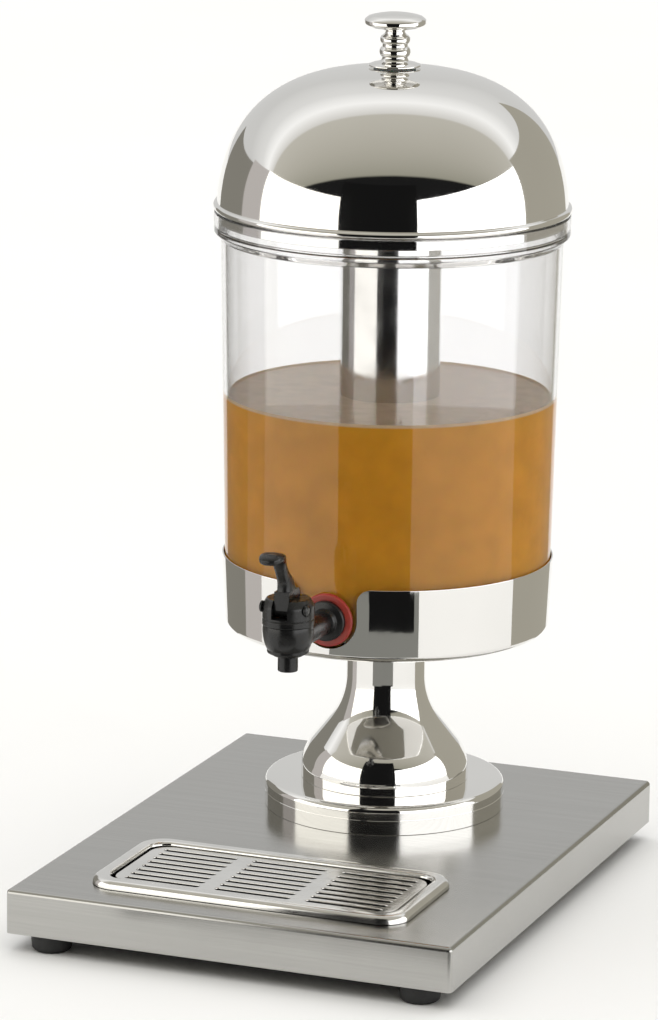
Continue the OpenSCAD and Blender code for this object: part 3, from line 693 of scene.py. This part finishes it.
def make_juice():
    """The drink fills the container to its inner wall, and a little into it, so that no air gap shows."""
    sizes = bpy.context.scene.dispenser_sizes
    _, inner_r = tank_outline()
    bite = 0.1 * MM
    low = TANK_LOW.z + 4 * MM - bite
    level = sizes.juice_level
    wall = [inner_r(low + 5 * MM + (level - low - 5 * MM) * k / 24) + bite for k in range(25)]
    heights = [low + 5 * MM + (level - low - 5 * MM) * k / 24 for k in range(25)]
    side = list(zip(wall, heights))
    edge = 5 * MM
    corner = arc(wall[0] - edge, low + edge, edge, -90, 0, 8)[:-1]
    climb = 1.1 * MM
    meniscus = [(wall[-1], level + climb)]
    meniscus += [(wall[-1] - 3.2 * MM * k / 6, level + climb * (1 - k / 6) ** 2) for k in range(1, 7)]
    outline = [(0, low)] + corner + side[:-1] + meniscus + [(wall[-1] * 0.5, level), (0, level)]
    piece = turned("juice", outline, material("juice"), 144, sharp=60)
    stand_for(piece, "container", "clear_plastic")
    bm = bmesh.new()
    golden = math.radians(137.508)
    tube_r = (TUBE_HIGH.x - TUBE_LOW.x) / 2
    for k in range(sizes.bubble_count):
        reach = tube_r + 8 * MM + (wall[-1] - tube_r - 12 * MM) * ((k * 0.381966) % 1.0)
        angle = k * golden
        size = (0.5 + 0.7 * ((k * 0.7548) % 1.0)) * MM
        at = Vector((reach * math.cos(angle), AXIS_Y + reach * math.sin(angle), level))
        bmesh.ops.create_icosphere(bm, subdivisions=2, radius=size, matrix=Matrix.Translation(at))
    bubbles = finish_mesh(bm, "juice_bubbles", material("clear_plastic"))
    stand_for(bubbles, "container", "clear_plastic")


# ---- lid ----

def make_lid():
    bead = 2 * MM
    sheet = 1 * MM
    lip_h = 6.3 * MM
    foot = LID_LOW.z + lip_h
    bead_r = (LID_HIGH.x - LID_LOW.x) / 2
    dome_r = bead_r - 1.8 * MM
    power = 2.6
    flat = 16 * MM
    centre_z = foot - 12.3 * MM
    seat = LID_HIGH.z
    rise = (seat - centre_z) / (1 - (flat / dome_r) ** power) ** (1 / power)
    lip_r = (TANK_HIGH.x - TANK_LOW.x) / 2 - 3.4 * MM

    def side(depth, low, steps=56):
        r, h = dome_r - depth, rise - depth
        first = math.asin(((low - centre_z) / h) ** (power / 2))
        last = math.acos((flat / r) ** (power / 2))
        turn = [first + (last - first) * k / steps for k in range(steps + 1)]
        return [(r * math.cos(a) ** (2 / power), centre_z + h * math.sin(a) ** (2 / power)) for a in turn]

    outer = side(0, foot + 2 * bead + 0.2 * MM)
    inner = side(sheet, foot + 2 * sheet)
    inner.reverse()
    rolled = arc(bead_r - bead, foot + bead, bead, -90, 84, 14)
    lip = rounded([
        (inner[-1][0], foot + sheet), (lip_r - sheet, foot + sheet, 0.3 * MM),
        (lip_r - sheet, foot - lip_h, 0.3 * MM), (lip_r, foot - lip_h, 0.3 * MM), (lip_r, foot, 0.6 * MM),
        (bead_r - bead, foot)], closed=False, steps=4)
    hole = 2.7 * MM
    crown = [(hole, seat), (hole, seat - sheet)]
    outline = rolled + outer + crown + inner + lip[:-1]
    stand_for(turned("lid_shell", outline, material("polished_steel"), 224, sharp=40), "lid",
              "polished_stainless", "lid_dome")


def make_knob():
    """Flange, two beads, neck and mushroom head, turned in one piece."""
    base = KNOB_LOW.z
    k = (KNOB_HIGH.z - base) / (33.6 * MM)
    r = (KNOB_HIGH.x - KNOB_LOW.x) / 2

    def at(radius, height, fillet=0.0):
        return (radius * MM, base + height * MM * k, fillet * MM)

    head = r / MM
    flange = rounded([at(0, 0), at(14.9, 0, 0.4), at(14.9, 1.1, 0.5), at(12, 2.2, 2), at(8, 3.2, 1.2),
                      at(7.3, 5.0)], closed=False, steps=6)
    lower = arc(5.4 * MM, base + 9 * MM * k, 3.5 * MM, -58, 58, 12)
    upper = arc(5.7 * MM, base + 16.6 * MM * k, 2.9 * MM, -55, 55, 12)
    neck = rounded([at(7.3, 19.2), at(5.7, 20.6, 1.5), at(5.7, 22, 2), at(8.4, 23.4, 2),
                    at(head - 3, 24.4, 2.5), at(head, 26.2, 1.8), at(head, 29, 2), at(head - 2.4, 31.2, 2.5)],
                   closed=False, steps=8)
    reach = neck[-1][0]
    rise = KNOB_HIGH.z - neck[-1][1]
    crown = [(reach * (1 - i / 8), neck[-1][1] + rise * (1 - (1 - i / 8) ** 2)) for i in range(1, 9)]
    outline = flange + lower + upper + neck + crown
    stand_for(turned("knob_turned", outline, material("polished_steel"), 128, sharp=50), "lid",
              "polished_stainless", "lid_knob")


def make_ice_tube():
    r = 28.5 * MM
    sheet = 1 * MM
    low, top = TUBE_LOW.z, TUBE_HIGH.z
    outline = rounded([
        (0, low), (r, low, 8 * MM), (r, top, 0.4 * MM), (r - sheet, top, 0.4 * MM),
        (r - sheet, low + sheet, 7 * MM), (0, low + sheet)], steps=8)
    bm = bmesh.new()
    spin(bm, outline, 128, (AXIS.x, AXIS_Y, 0))
    pin_z = top - 7 * MM
    pin_end = (TUBE_HIGH.y - TUBE_LOW.y) / 2
    pin_r, root = 1.9 * MM, 0.5 * MM
    pin_l = pin_end - r + root
    pin = rounded([(0, 0), (pin_r, 0), (pin_r, pin_l, 0.4 * MM), (0, pin_l)])
    for side in (-1, 1):
        spin(bm, pin, 32, (AXIS.x, AXIS_Y + side * (r - root), pin_z), (0, side, 0))
    piece = finish_mesh(bm, "ice_tube_shell", material("tube_steel"))
    stand_for(piece, "ice_tube", "polished_stainless", "ice_tube")


# ---- drip tray ----

def make_pan():
    width, depth = PAN_HIGH.x - PAN_LOW.x, PAN_HIGH.y - PAN_LOW.y
    at = ((PAN_LOW.x + PAN_HIGH.x) / 2, (PAN_LOW.y + PAN_HIGH.y) / 2)
    corner = 16 * MM
    sheet = 1.2 * MM
    flange_low = BASE_HIGH.z + 0.3 * MM
    crest = PAN_HIGH.z
    well = 7.8 * MM
    floor = PAN_LOW.z
    bm = bmesh.new()

    def ring(inset, z):
        return round_rect_ring(bm, width - 2 * inset, depth - 2 * inset, max(corner - inset * 0.6, 2 * MM), z, at)

    inner = well + sheet
    under = [(well + 4 * MM, floor), (well + 1.2 * MM, floor + 0.4 * MM), (well, floor + 2.5 * MM),
             (well, flange_low + 1.2 * MM), (well - 1 * MM, crest - 1.8 * MM), (3 * MM, crest - 1.9 * MM),
             (sheet, flange_low + 1 * MM), (sheet, flange_low)]
    over = [(0, flange_low)] + [(3.4 * MM * (1 - math.cos(a)), flange_low + (crest - flange_low) * math.sin(a))
                                for a in (math.radians(12 * i) for i in range(1, 8))]
    over += [(inner - 2.4 * MM, crest)]
    over += [(inner - 2.2 * MM + 2.2 * MM * math.sin(a), crest - 2.2 * MM * (1 - math.cos(a)))
             for a in (math.radians(18 * i) for i in range(1, 6))]
    over += [(inner, floor + 3.4 * MM), (inner + 0.6 * MM, floor + 1.8 * MM), (inner + 2.4 * MM, floor + sheet)]
    loft(bm, [ring(inset, z) for inset, z in under + over])
    ledge_d, ledge_t = 4 * MM, 1.2 * MM
    ledge_top = GRILLE_LOW.z - 0.3 * MM
    long = GRILLE_HIGH.x - GRILLE_LOW.x - 48 * MM
    for side in (-1, 1):
        y = at[1] + side * (depth / 2 - inner - ledge_d / 2 + 0.2 * MM)
        add_block(bm, (at[0], y, ledge_top - ledge_t / 2), (long, ledge_d + 0.4 * MM, ledge_t))
    piece = finish_mesh(bm, "pan_shell", material("tray_steel"), 40)
    stand_for(piece, "drip_pan", "satin_stainless", "drip_pan")


def make_grille():
    rows, columns = 8, 3
    web = 9.5 * MM
    slot_w = 3.8 * MM
    end_margin, side_margin = 7 * MM, 5.3 * MM
    width, depth = GRILLE_HIGH.x - GRILLE_LOW.x, GRILLE_HIGH.y - GRILLE_LOW.y
    at = ((GRILLE_LOW.x + GRILLE_HIGH.x) / 2, (GRILLE_LOW.y + GRILLE_HIGH.y) / 2)
    slot_l = (width - 2 * end_margin - (columns - 1) * web) / columns
    pitch = (depth - 2 * side_margin - slot_w) / (rows - 1)
    bm = bmesh.new()
    edges = round_rect_ring(bm, width, depth, 12 * MM, GRILLE_LOW.z, at)
    for i in range(columns):
        for j in range(rows):
            x = at[0] + (i - (columns - 1) / 2) * (slot_l + web)
            y = at[1] + (j - (rows - 1) / 2) * pitch
            edges += round_rect_ring(bm, slot_l, slot_w, slot_w / 2, GRILLE_LOW.z, (x, y), 5)
    bmesh.ops.triangle_fill(bm, edges=edges, use_beauty=True, use_dissolve=False)
    push(bm, list(bm.faces), (0, 0, GRILLE_HIGH.z - GRILLE_LOW.z))
    bmesh.ops.recalc_face_normals(bm, faces=bm.faces)
    rim = [e for e in bm.edges if e.calc_face_angle(0) > math.radians(60)
           and min(v.co.z for v in e.verts) > GRILLE_HIGH.z - 0.1 * MM]
    bmesh.ops.bevel(bm, geom=rim, offset=0.55 * MM, offset_type="OFFSET", affect="EDGES", segments=3,
                    profile=0.5, material=-1, clamp_overlap=True)
    piece = finish_mesh(bm, "grille_sheet", material("tray_steel"), 40)
    stand_for(piece, "drip_grille", "satin_stainless", "drip_grille")


# ---- tap ----

def make_tap_body():
    outlet_r, outlet_bore = 5.6 * MM, 3.9 * MM
    bowl_r = 14.2 * MM
    top = BONNET_LOW.z + 3 * MM
    outlet_z = VALVE_LOW.z
    neck_z = TAP_Z - 6.3 * MM
    widest = TAP_Z + 9.7 * MM
    cavity_r = 11.6 * MM
    floor = TAP_Z - 4.5 * MM
    side = []
    for k in range(15):
        a = math.radians(-90 + 90 * k / 14)
        side.append((outlet_r + 1 * MM + (bowl_r - outlet_r - 1 * MM) * math.cos(a),
                     widest + (widest - neck_z) * math.sin(a)))
    foot = rounded([(outlet_bore, outlet_z, 0.3 * MM), (outlet_r, outlet_z, 0.5 * MM),
                    (outlet_r, neck_z, 0.8 * MM), side[0]], closed=False, steps=4)
    bowl = rounded([(bowl_r, top, 0.4 * MM), (cavity_r, top, 0.3 * MM), (cavity_r, floor, 1 * MM),
                    (outlet_bore, floor, 0.4 * MM), (outlet_bore, outlet_z + 1 * MM)], steps=4)
    outline = foot[:-1] + side + bowl
    at = (0, VALVE_Y, 0)
    piece = turned("tap_valve", outline, material("black_plastic"), 96, at)
    disc_y = WASHER_LOW.y
    shank_r, bore_r = 7.8 * MM, 4 * MM
    inner_end = VALVE_HIGH.y
    reach = disc_y - VALVE_Y - 9 * MM
    out = inner_end - disc_y
    arm = rounded([
        (bore_r, 0), (shank_r, 0, 0.6 * MM), (shank_r, out), (11.5 * MM, out, 0.4 * MM),
        (11.5 * MM, out + 3 * MM, 1 * MM), (7.6 * MM, out + 3.4 * MM, 0.8 * MM), (6.5 * MM, out + 6 * MM, 1.5 * MM),
        (6.5 * MM, out + reach), (bore_r, out + reach)], steps=5)
    bm = bmesh.new()
    spin(bm, arm, 72, (0, inner_end, TAP_Z), (0, -1, 0))
    boolean(piece, finish_mesh(bm, "tool", tool_material()), "UNION")
    boolean(piece, cylinder_tool(bore_r - 0.05 * MM, (0, VALVE_Y, TAP_Z), (0, disc_y - 8 * MM, TAP_Z), 48))
    soften(piece, 0, sharp=40)
    stand_for(piece, "container", "black_plastic", "tap_body")


def make_bonnet():
    low, top = BONNET_LOW.z + 3 * MM, BONNET_HIGH.z
    r = (BONNET_HIGH.x - BONNET_LOW.x) / 2
    spigot = 11.5 * MM
    pocket = 5.8 * MM
    stem = 2.15 * MM
    outline = rounded([
        (stem, low + 4.9 * MM), (stem, low + 2 * MM), (pocket, low + 2 * MM), (pocket, BONNET_LOW.z),
        (spigot, BONNET_LOW.z, 0.3 * MM), (spigot, low), (r, low, 0.5 * MM), (r, low + 3.1 * MM, 0.4 * MM),
        (r - 0.5 * MM, low + 3.6 * MM, 0.2 * MM), (r, low + 4.1 * MM, 0.4 * MM), (r, top - 4 * MM, 3 * MM),
        (r - 2.4 * MM, top, 1.6 * MM), (stem, top)], steps=5)
    piece = turned("bonnet_cap", outline, material("black_plastic"), 96, (0, VALVE_Y, 0))
    slot = 4.65 * MM
    boolean(piece, block_tool((-slot, VALVE_Y - 20 * MM, low + 5 * MM), (slot, VALVE_Y + 20 * MM, top + 5 * MM)))
    boolean(piece, cylinder_tool(1.65 * MM, (-20 * MM, PIN.y, PIN.z), (20 * MM, PIN.y, PIN.z), 40))
    head_seat = 12.4 * MM
    for side in (-1, 1):
        seat = side * head_seat
        boolean(piece, cylinder_tool(3.6 * MM, (seat, PIN.y, PIN.z), (seat + side * 10 * MM, PIN.y, PIN.z), 48))
    soften(piece, 0.25 * MM, 50)
    stand_for(piece, "container", "black_plastic", "tap_bonnet")
    bm = bmesh.new()
    head = rounded([(0, 0), (3.2 * MM, 0, 0.2 * MM), (3.2 * MM, 1.2 * MM, 0.6 * MM), (1.8 * MM, 1.9 * MM, 0.8 * MM),
                    (0, 1.9 * MM)], steps=5)
    for side in (-1, 1):
        spin(bm, head, 48, (side * head_seat, PIN.y, PIN.z), (side, 0, 0))
    pin_r, pin_l = 1.6 * MM, 24.4 * MM
    spin(bm, [(0, 0), (pin_r, 0), (pin_r, pin_l), (0, pin_l)], 32, (-pin_l / 2, PIN.y, PIN.z), (1, 0, 0))
    pin = finish_mesh(bm, "lever_pin", material("black_plastic"))
    stand_for(pin, "container", "plain_steel", "tap_lever_pin")


def lever_rings():
    """Cross-sections up the lever: (y, z, half width, half thickness, lean), from the pin."""
    return [
        (3.2, 6.0, 4.3, 7.6, 0), (3.0, 10.0, 4.3, 7.0, 2), (2.2, 13.5, 4.1, 5.8, 8), (0.2, 16.6, 3.7, 4.6, 20),
        (-2.6, 19.4, 3.4, 3.6, 32), (-5.2, 23.2, 3.4, 3.1, 30), (-7.4, 27.0, 3.6, 2.9, 32),
        (-10.0, 30.0, 4.8, 2.9, 50), (-13.2, 31.8, 6.2, 2.8, 68), (-17.0, 32.6, 7.0, 2.8, 82),
        (-21.0, 32.6, 6.8, 2.8, 94), (-24.4, 31.8, 5.4, 2.4, 104), (-26.4, 31.0, 3.2, 1.4, 108),
    ]


def make_lever():
    bm = bmesh.new()
    rings = []
    for y, z, half_w, half_t, lean in lever_rings():
        made = bmesh.ops.create_circle(bm, cap_ends=False, segments=24, radius=1)["verts"]
        for vert in made:
            # squared-off ellipse
            vert.co.x = math.copysign(abs(vert.co.x) ** 0.7, vert.co.x) * half_w * MM
            vert.co.y = math.copysign(abs(vert.co.y) ** 0.7, vert.co.y) * half_t * MM
        tilt = Matrix.Rotation(math.radians(lean), 4, "X")
        bmesh.ops.transform(bm, matrix=Matrix.Translation((0, PIN.y + y * MM, PIN.z + z * MM)) @ tilt, verts=made)
        rings.append(loop_edges(bm, made))
    loft(bm, rings)
    upper = finish_mesh(bm, "tool", tool_material())
    smooth = upper.modifiers.new("round", "SUBSURF")
    smooth.levels = smooth.render_levels = 2
    half_w = 4.3 * MM
    foot = rounded([(-4.5, -1, 1), (-4.4, 7, 1), (-4.4, 10, 0), (10.6, 10, 0), (12.6, 6, 2), (12.4, 0, 2),
                    (10, -2.8, 1.5), (2.5, -2.8, 0.5)]) + arc(0, 0, 4.6, -38, -168, 14)
    foot = [(y * MM, z * MM) for y, z in foot]
    bm = bmesh.new()
    face = bm.faces.new([bm.verts.new((-half_w, PIN.y + y, PIN.z + z)) for y, z in foot])
    push(bm, [face], (2 * half_w, 0, 0))
    piece = finish_mesh(bm, "thumb_lever", material("black_plastic"))
    boolean(piece, upper, "UNION")
    boolean(piece, cylinder_tool(1.68 * MM, (-9 * MM, PIN.y, PIN.z), (9 * MM, PIN.y, PIN.z), 40))
    room = 2.3 * MM
    boolean(piece, block_tool((-room, PIN.y + 2.7 * MM, PIN.z - 7 * MM), (room, PIN.y + 20 * MM, PIN.z + 6.5 * MM)))
    for y in (VALVE_Y, VALVE_Y + 0.6 * MM):
        boolean(piece, cylinder_tool(1.55 * MM, (-9 * MM, y, PIN.z), (9 * MM, y, PIN.z), 32))
    soften(piece, 0.3 * MM, 55)
    stand_for(piece, "tap_lever", "black_plastic", "tap_lever")


def make_washer():
    r = (WASHER_HIGH.x - WASHER_LOW.x) / 2
    thick = WASHER_HIGH.y - WASHER_LOW.y
    outline = rounded([(8 * MM, 0), (r, 0, 0.9 * MM), (r, thick, 0.9 * MM), (8 * MM, thick, 0.4 * MM)], steps=5)
    piece = turned("washer_outer", outline, material("red_silicone"), 96, (0, WASHER_HIGH.y, TAP_Z), (0, -1, 0))
    stand_for(piece, "container", "red_silicone", "tap_outer_washer")


# ---- CAD pieces that keep their own shape ----

CAD_FINISHES = {
    "plain_steel": ("foot_screws", "foot_nuts", "tie_rod", "tie_rod_washer", "tie_rod_nut", "base_stiffener",
                    "tap_spring", "tap_stem", "tap_stem_pin", "lid_knob_screw"),
    "black_plastic": ("tap_backnut", "ice_tube_socket"),
    "black_rubber": ("tap_inner_washer",),
    "white_silicone": ("cradle_pad", "lid_knob_washer", "tap_seat_cup"),
}


def finish_cad_nodes():
    for finish, nodes in CAD_FINISHES.items():
        for node in nodes:
            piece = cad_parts[node]
            for slot in piece.material_slots:
                slot.material = material(finish)


# ---- stage ----

CAMERA_AZIMUTH = 21.25
CAMERA_ELEVATION = 13.23
CAMERA_ROLL = 0.69
CAMERA_DISTANCE = 2.7679
CAMERA_ASIDE = -0.009
CAMERA_AIM_Z = 0.22376
CAMERA_LENS = 174.1


def direction(azimuth, elevation):
    """Unit vector from the object towards a viewer at that azimuth and elevation, in degrees."""
    a, e = math.radians(azimuth), math.radians(elevation)
    return Vector((math.sin(a) * math.cos(e), -math.cos(a) * math.cos(e), math.sin(e)))


def make_camera():
    back = direction(CAMERA_AZIMUTH, CAMERA_ELEVATION)
    a = math.radians(CAMERA_AZIMUTH)
    level = Vector((math.cos(a), math.sin(a), 0))
    above = back.cross(level)
    roll = math.radians(CAMERA_ROLL)
    right = level * math.cos(roll) + above * math.sin(roll)
    up = above * math.cos(roll) - level * math.sin(roll)
    place = level * CAMERA_ASIDE + Vector((0, 0, CAMERA_AIM_Z)) + back * CAMERA_DISTANCE
    data = bpy.data.cameras.new("camera")
    data.sensor_width = 36
    data.sensor_fit = "AUTO"
    data.lens = CAMERA_LENS
    data.clip_start = 0.05
    data.clip_end = 60
    camera = bpy.data.objects.new("camera", data)
    camera.matrix_world = Matrix.Translation(place) @ Matrix((right, up, back)).transposed().to_4x4()
    bpy.context.scene.collection.objects.link(camera)
    bpy.context.scene.camera = camera


def make_floor():
    bm = bmesh.new()
    bmesh.ops.create_circle(bm, cap_ends=True, segments=96, radius=14)
    floor_material, nodes, links, shader = new_material("floor", Roughness=0.9)
    shades = ramp(nodes, links, noise(nodes, links, 1.5, 2), [(0.3, 0.86), (0.7, 0.89)])
    links.new(shades, shader.inputs["Base Color"])
    floor = finish_mesh(bm, "floor", floor_material)


def make_panel(name, start, end, radius, tops, colour, strength=1.0, foot=None, low=0.8 * MM):
    """A bent screen round the object that shows only in reflections.

    It spans two azimuths relative to the camera, and its top slopes from one height to the other.
    It can have a foot that lies just over the floor, from a smaller radius out to the screen.
    """
    steps = max(2, int(abs(end - start) / 4))
    profile = [(radius, low), (radius, tops[0])] if foot is None else [(foot, low), (radius, low), (radius, tops[0])]
    bm = bmesh.new()
    outward = direction(CAMERA_AZIMUTH + start, 0)
    verts = [bm.verts.new(outward * r + Vector((0, AXIS_Y, z))) for r, z in profile]
    edges = [bm.edges.new(pair) for pair in zip(verts, verts[1:])]
    bmesh.ops.spin(bm, geom=verts + edges, cent=(0, AXIS_Y, 0), axis=(0, 0, 1), angle=math.radians(end - start),
                   steps=steps, use_merge=False, use_duplicate=False)
    for vert in bm.verts:
        if vert.co.z > low + 0.1 * MM:
            flat = Vector((vert.co.x, vert.co.y - AXIS_Y))
            share = -outward.xy.angle_signed(flat, 0) / math.radians(end - start)
            vert.co.z = tops[0] + (tops[1] - tops[0]) * share
    glow = bpy.data.materials.new(name)
    glow.use_nodes = True
    tree = glow.node_tree
    tree.nodes.clear()
    emission = tree.nodes.new("ShaderNodeEmission")
    emission.inputs["Color"].default_value = (*colour, 1)
    emission.inputs["Strength"].default_value = strength
    out = tree.nodes.new("ShaderNodeOutputMaterial")
    tree.links.new(emission.outputs["Emission"], out.inputs["Surface"])
    screen = finish_mesh(bm, name, glow)
    screen.visible_camera = False
    screen.visible_diffuse = False
    screen.visible_shadow = False


def make_sky_light(strength):
    """A very soft overhead light that only matt surfaces see."""
    data = bpy.data.lights.new("sky_light", "SUN")
    data.energy = strength
    data.angle = math.radians(100)
    light = bpy.data.objects.new("sky_light", data)
    light.visible_camera = False
    light.visible_glossy = False
    bpy.context.scene.collection.objects.link(light)


def calculate(nodes, links, operation, first, second=None):
    """A Math node on sockets or numbers."""
    node = nodes.new("ShaderNodeMath")
    node.operation = operation
    for socket, value in zip(node.inputs, (first, second)):
        if isinstance(value, bpy.types.NodeSocket):
            links.new(value, socket)
        elif value is not None:
            socket.default_value = value
    return node.outputs["Value"]


def along(nodes, links, vector, axis):
    node = nodes.new("ShaderNodeVectorMath")
    node.operation = "DOT_PRODUCT"
    node.inputs[1].default_value = axis
    links.new(vector, node.inputs[0])
    return node.outputs["Value"]


def make_world():
    """A studio ceiling that is warm grey in front and white over and behind the object."""
    world = bpy.data.worlds.new("studio")
    world.use_nodes = True
    nodes, links = world.node_tree.nodes, world.node_tree.links
    view = nodes.new("ShaderNodeTexCoord").outputs["Generated"]
    front = along(nodes, links, view, direction(CAMERA_AZIMUTH, 0))
    rise = along(nodes, links, view, (0, 0, 1))
    lift = calculate(nodes, links, "MAXIMUM", rise, 0.001)
    forward = calculate(nodes, links, "DIVIDE", front, lift)       # place on a flat ceiling, in heights
    # from -2 heights behind the object to 3 in front of it
    place = calculate(nodes, links, "MULTIPLY_ADD", forward, 0.2)
    place.node.inputs[2].default_value = 0.4
    unlit = (0.012, 0.012, 0.012)
    ceiling = ramp(nodes, links, place, [
        (0.0, (0.66, 0.66, 0.65)), (0.22, (0.80, 0.80, 0.79)), (0.30, (1.05, 1.05, 1.04)),
        (0.36, (0.72, 0.71, 0.68)), (0.366, (0.56, 0.54, 0.48)), (0.50, (0.48, 0.46, 0.40)),
        (0.69, (0.34, 0.33, 0.27)), (0.71, unlit), (1.0, unlit)])
    links.new(ceiling, nodes["Background"].inputs["Color"])
    bpy.context.scene.world = world


# ---- operators ----

class DISPENSER_OT_base(bpy.types.Operator):
    """Folded base sheet and rubber feet"""
    bl_idname = "dispenser.base"
    bl_label = "Base"

    def execute(self, context):
        make_base()
        make_feet()
        return {"FINISHED"}


class DISPENSER_OT_column(bpy.types.Operator):
    """Ring, bell and cradle"""
    bl_idname = "dispenser.column"
    bl_label = "Column"

    def execute(self, context):
        make_ring()
        make_column()
        make_cradle()
        return {"FINISHED"}


class DISPENSER_OT_container(bpy.types.Operator):
    """Clear container and the drink in it"""
    bl_idname = "dispenser.container"
    bl_label = "Container"

    def execute(self, context):
        make_container()
        make_juice()
        return {"FINISHED"}


class DISPENSER_OT_lid(bpy.types.Operator):
    """Domed lid and turned knob"""
    bl_idname = "dispenser.lid"
    bl_label = "Lid"

    def execute(self, context):
        make_lid()
        make_knob()
        return {"FINISHED"}


class DISPENSER_OT_ice_tube(bpy.types.Operator):
    """Polished tube that holds the ice"""
    bl_idname = "dispenser.ice_tube"
    bl_label = "Ice tube"

    def execute(self, context):
        make_ice_tube()
        return {"FINISHED"}


class DISPENSER_OT_tray(bpy.types.Operator):
    """Drip pan and grille"""
    bl_idname = "dispenser.tray"
    bl_label = "Drip tray"

    def execute(self, context):
        make_pan()
        make_grille()
        return {"FINISHED"}


class DISPENSER_OT_tap(bpy.types.Operator):
    """Valve, bonnet, lever and washer"""
    bl_idname = "dispenser.tap"
    bl_label = "Tap"

    def execute(self, context):
        make_tap_body()
        make_bonnet()
        make_lever()
        make_washer()
        return {"FINISHED"}


class DISPENSER_OT_cad(bpy.types.Operator):
    """Finishes of the pieces that keep their CAD shape"""
    bl_idname = "dispenser.cad"
    bl_label = "CAD pieces"

    def execute(self, context):
        finish_cad_nodes()
        return {"FINISHED"}


class DISPENSER_OT_stage(bpy.types.Operator):
    """Camera, floor, screens, overhead light and studio ceiling"""
    bl_idname = "dispenser.stage"
    bl_label = "Stage"

    def execute(self, context):
        make_camera()
        make_floor()
        white, cream, grey = (1.0, 1.0, 1.0), (1.0, 0.98, 0.92), (0.40, 0.38, 0.32)
        dark = (0.008, 0.008, 0.008)
        make_panel("white_right", 13, 92, 1.25, (0.71, 0.90), white, 2.2)
        make_panel("white_left", -93, -31, 1.25, (0.78, 0.71), cream, 1.8)
        make_panel("dark_gap", -33, 14, 0.60, (0.66, 0.66), dark)
        # a grey sheet just over the floor in front: painted shade of the floor, seen only in reflections
        make_panel("painted_floor_shade", -38, 20, 0.598, (0.002, 0.002), (0.24, 0.24, 0.22), 1.0, 0.34)
        make_panel("dark_patch", -12, 17, 0.597, (0.0025, 0.0025), dark, 1.0, 0.52, 1.2 * MM)
        make_panel("grey_right", 92, 150, 1.2, (0.98, 1.15), grey, 1.0, 0.30)
        make_panel("grey_left", -112, -93, 1.2, (0.74, 0.76), (0.52, 0.49, 0.47), 1.0, 0.30)
        make_panel("dark_left", -150, -112, 1.2, (0.62, 0.70), (0.24, 0.23, 0.20), 1.0, 0.30)
        make_sky_light(1.9)
        make_world()
        context.scene.view_settings.view_transform = "Standard"
        return {"FINISHED"}


OPERATORS = [DISPENSER_OT_stage, DISPENSER_OT_base, DISPENSER_OT_column, DISPENSER_OT_container,
             DISPENSER_OT_lid, DISPENSER_OT_ice_tube, DISPENSER_OT_tray, DISPENSER_OT_tap, DISPENSER_OT_cad]


class DISPENSER_PT_panel(bpy.types.Panel):
    """Settings, and a button for each operator"""
    bl_label = "Dispenser"
    bl_space_type = "VIEW_3D"
    bl_region_type = "UI"
    bl_category = "Dispenser"

    def draw(self, context):
        layout = self.layout
        for group in (context.scene.dispenser_sizes, context.scene.dispenser_colours):
            for name in group.bl_rna.properties.keys():
                if name not in ("rna_type", "name"):
                    layout.prop(group, name)
        for operator in OPERATORS:
            layout.operator(operator.bl_idname)


CLASSES = [DispenserSizes, DispenserColours, *OPERATORS, DISPENSER_PT_panel]


def register():
    for cls in CLASSES:
        bpy.utils.register_class(cls)
    bpy.types.Scene.dispenser_sizes = PointerProperty(type=DispenserSizes)
    bpy.types.Scene.dispenser_colours = PointerProperty(type=DispenserColours)


def unregister():
    del bpy.types.Scene.dispenser_colours
    del bpy.types.Scene.dispenser_sizes
    for cls in reversed(CLASSES):
        bpy.utils.unregister_class(cls)


def main():
    register()
    bpy.ops.dispenser.stage()
    bpy.ops.dispenser.base()
    bpy.ops.dispenser.column()
    bpy.ops.dispenser.container()
    bpy.ops.dispenser.lid()
    bpy.ops.dispenser.ice_tube()
    bpy.ops.dispenser.tray()
    bpy.ops.dispenser.tap()
    bpy.ops.dispenser.cad()


if __name__ == "__main__":
    main()
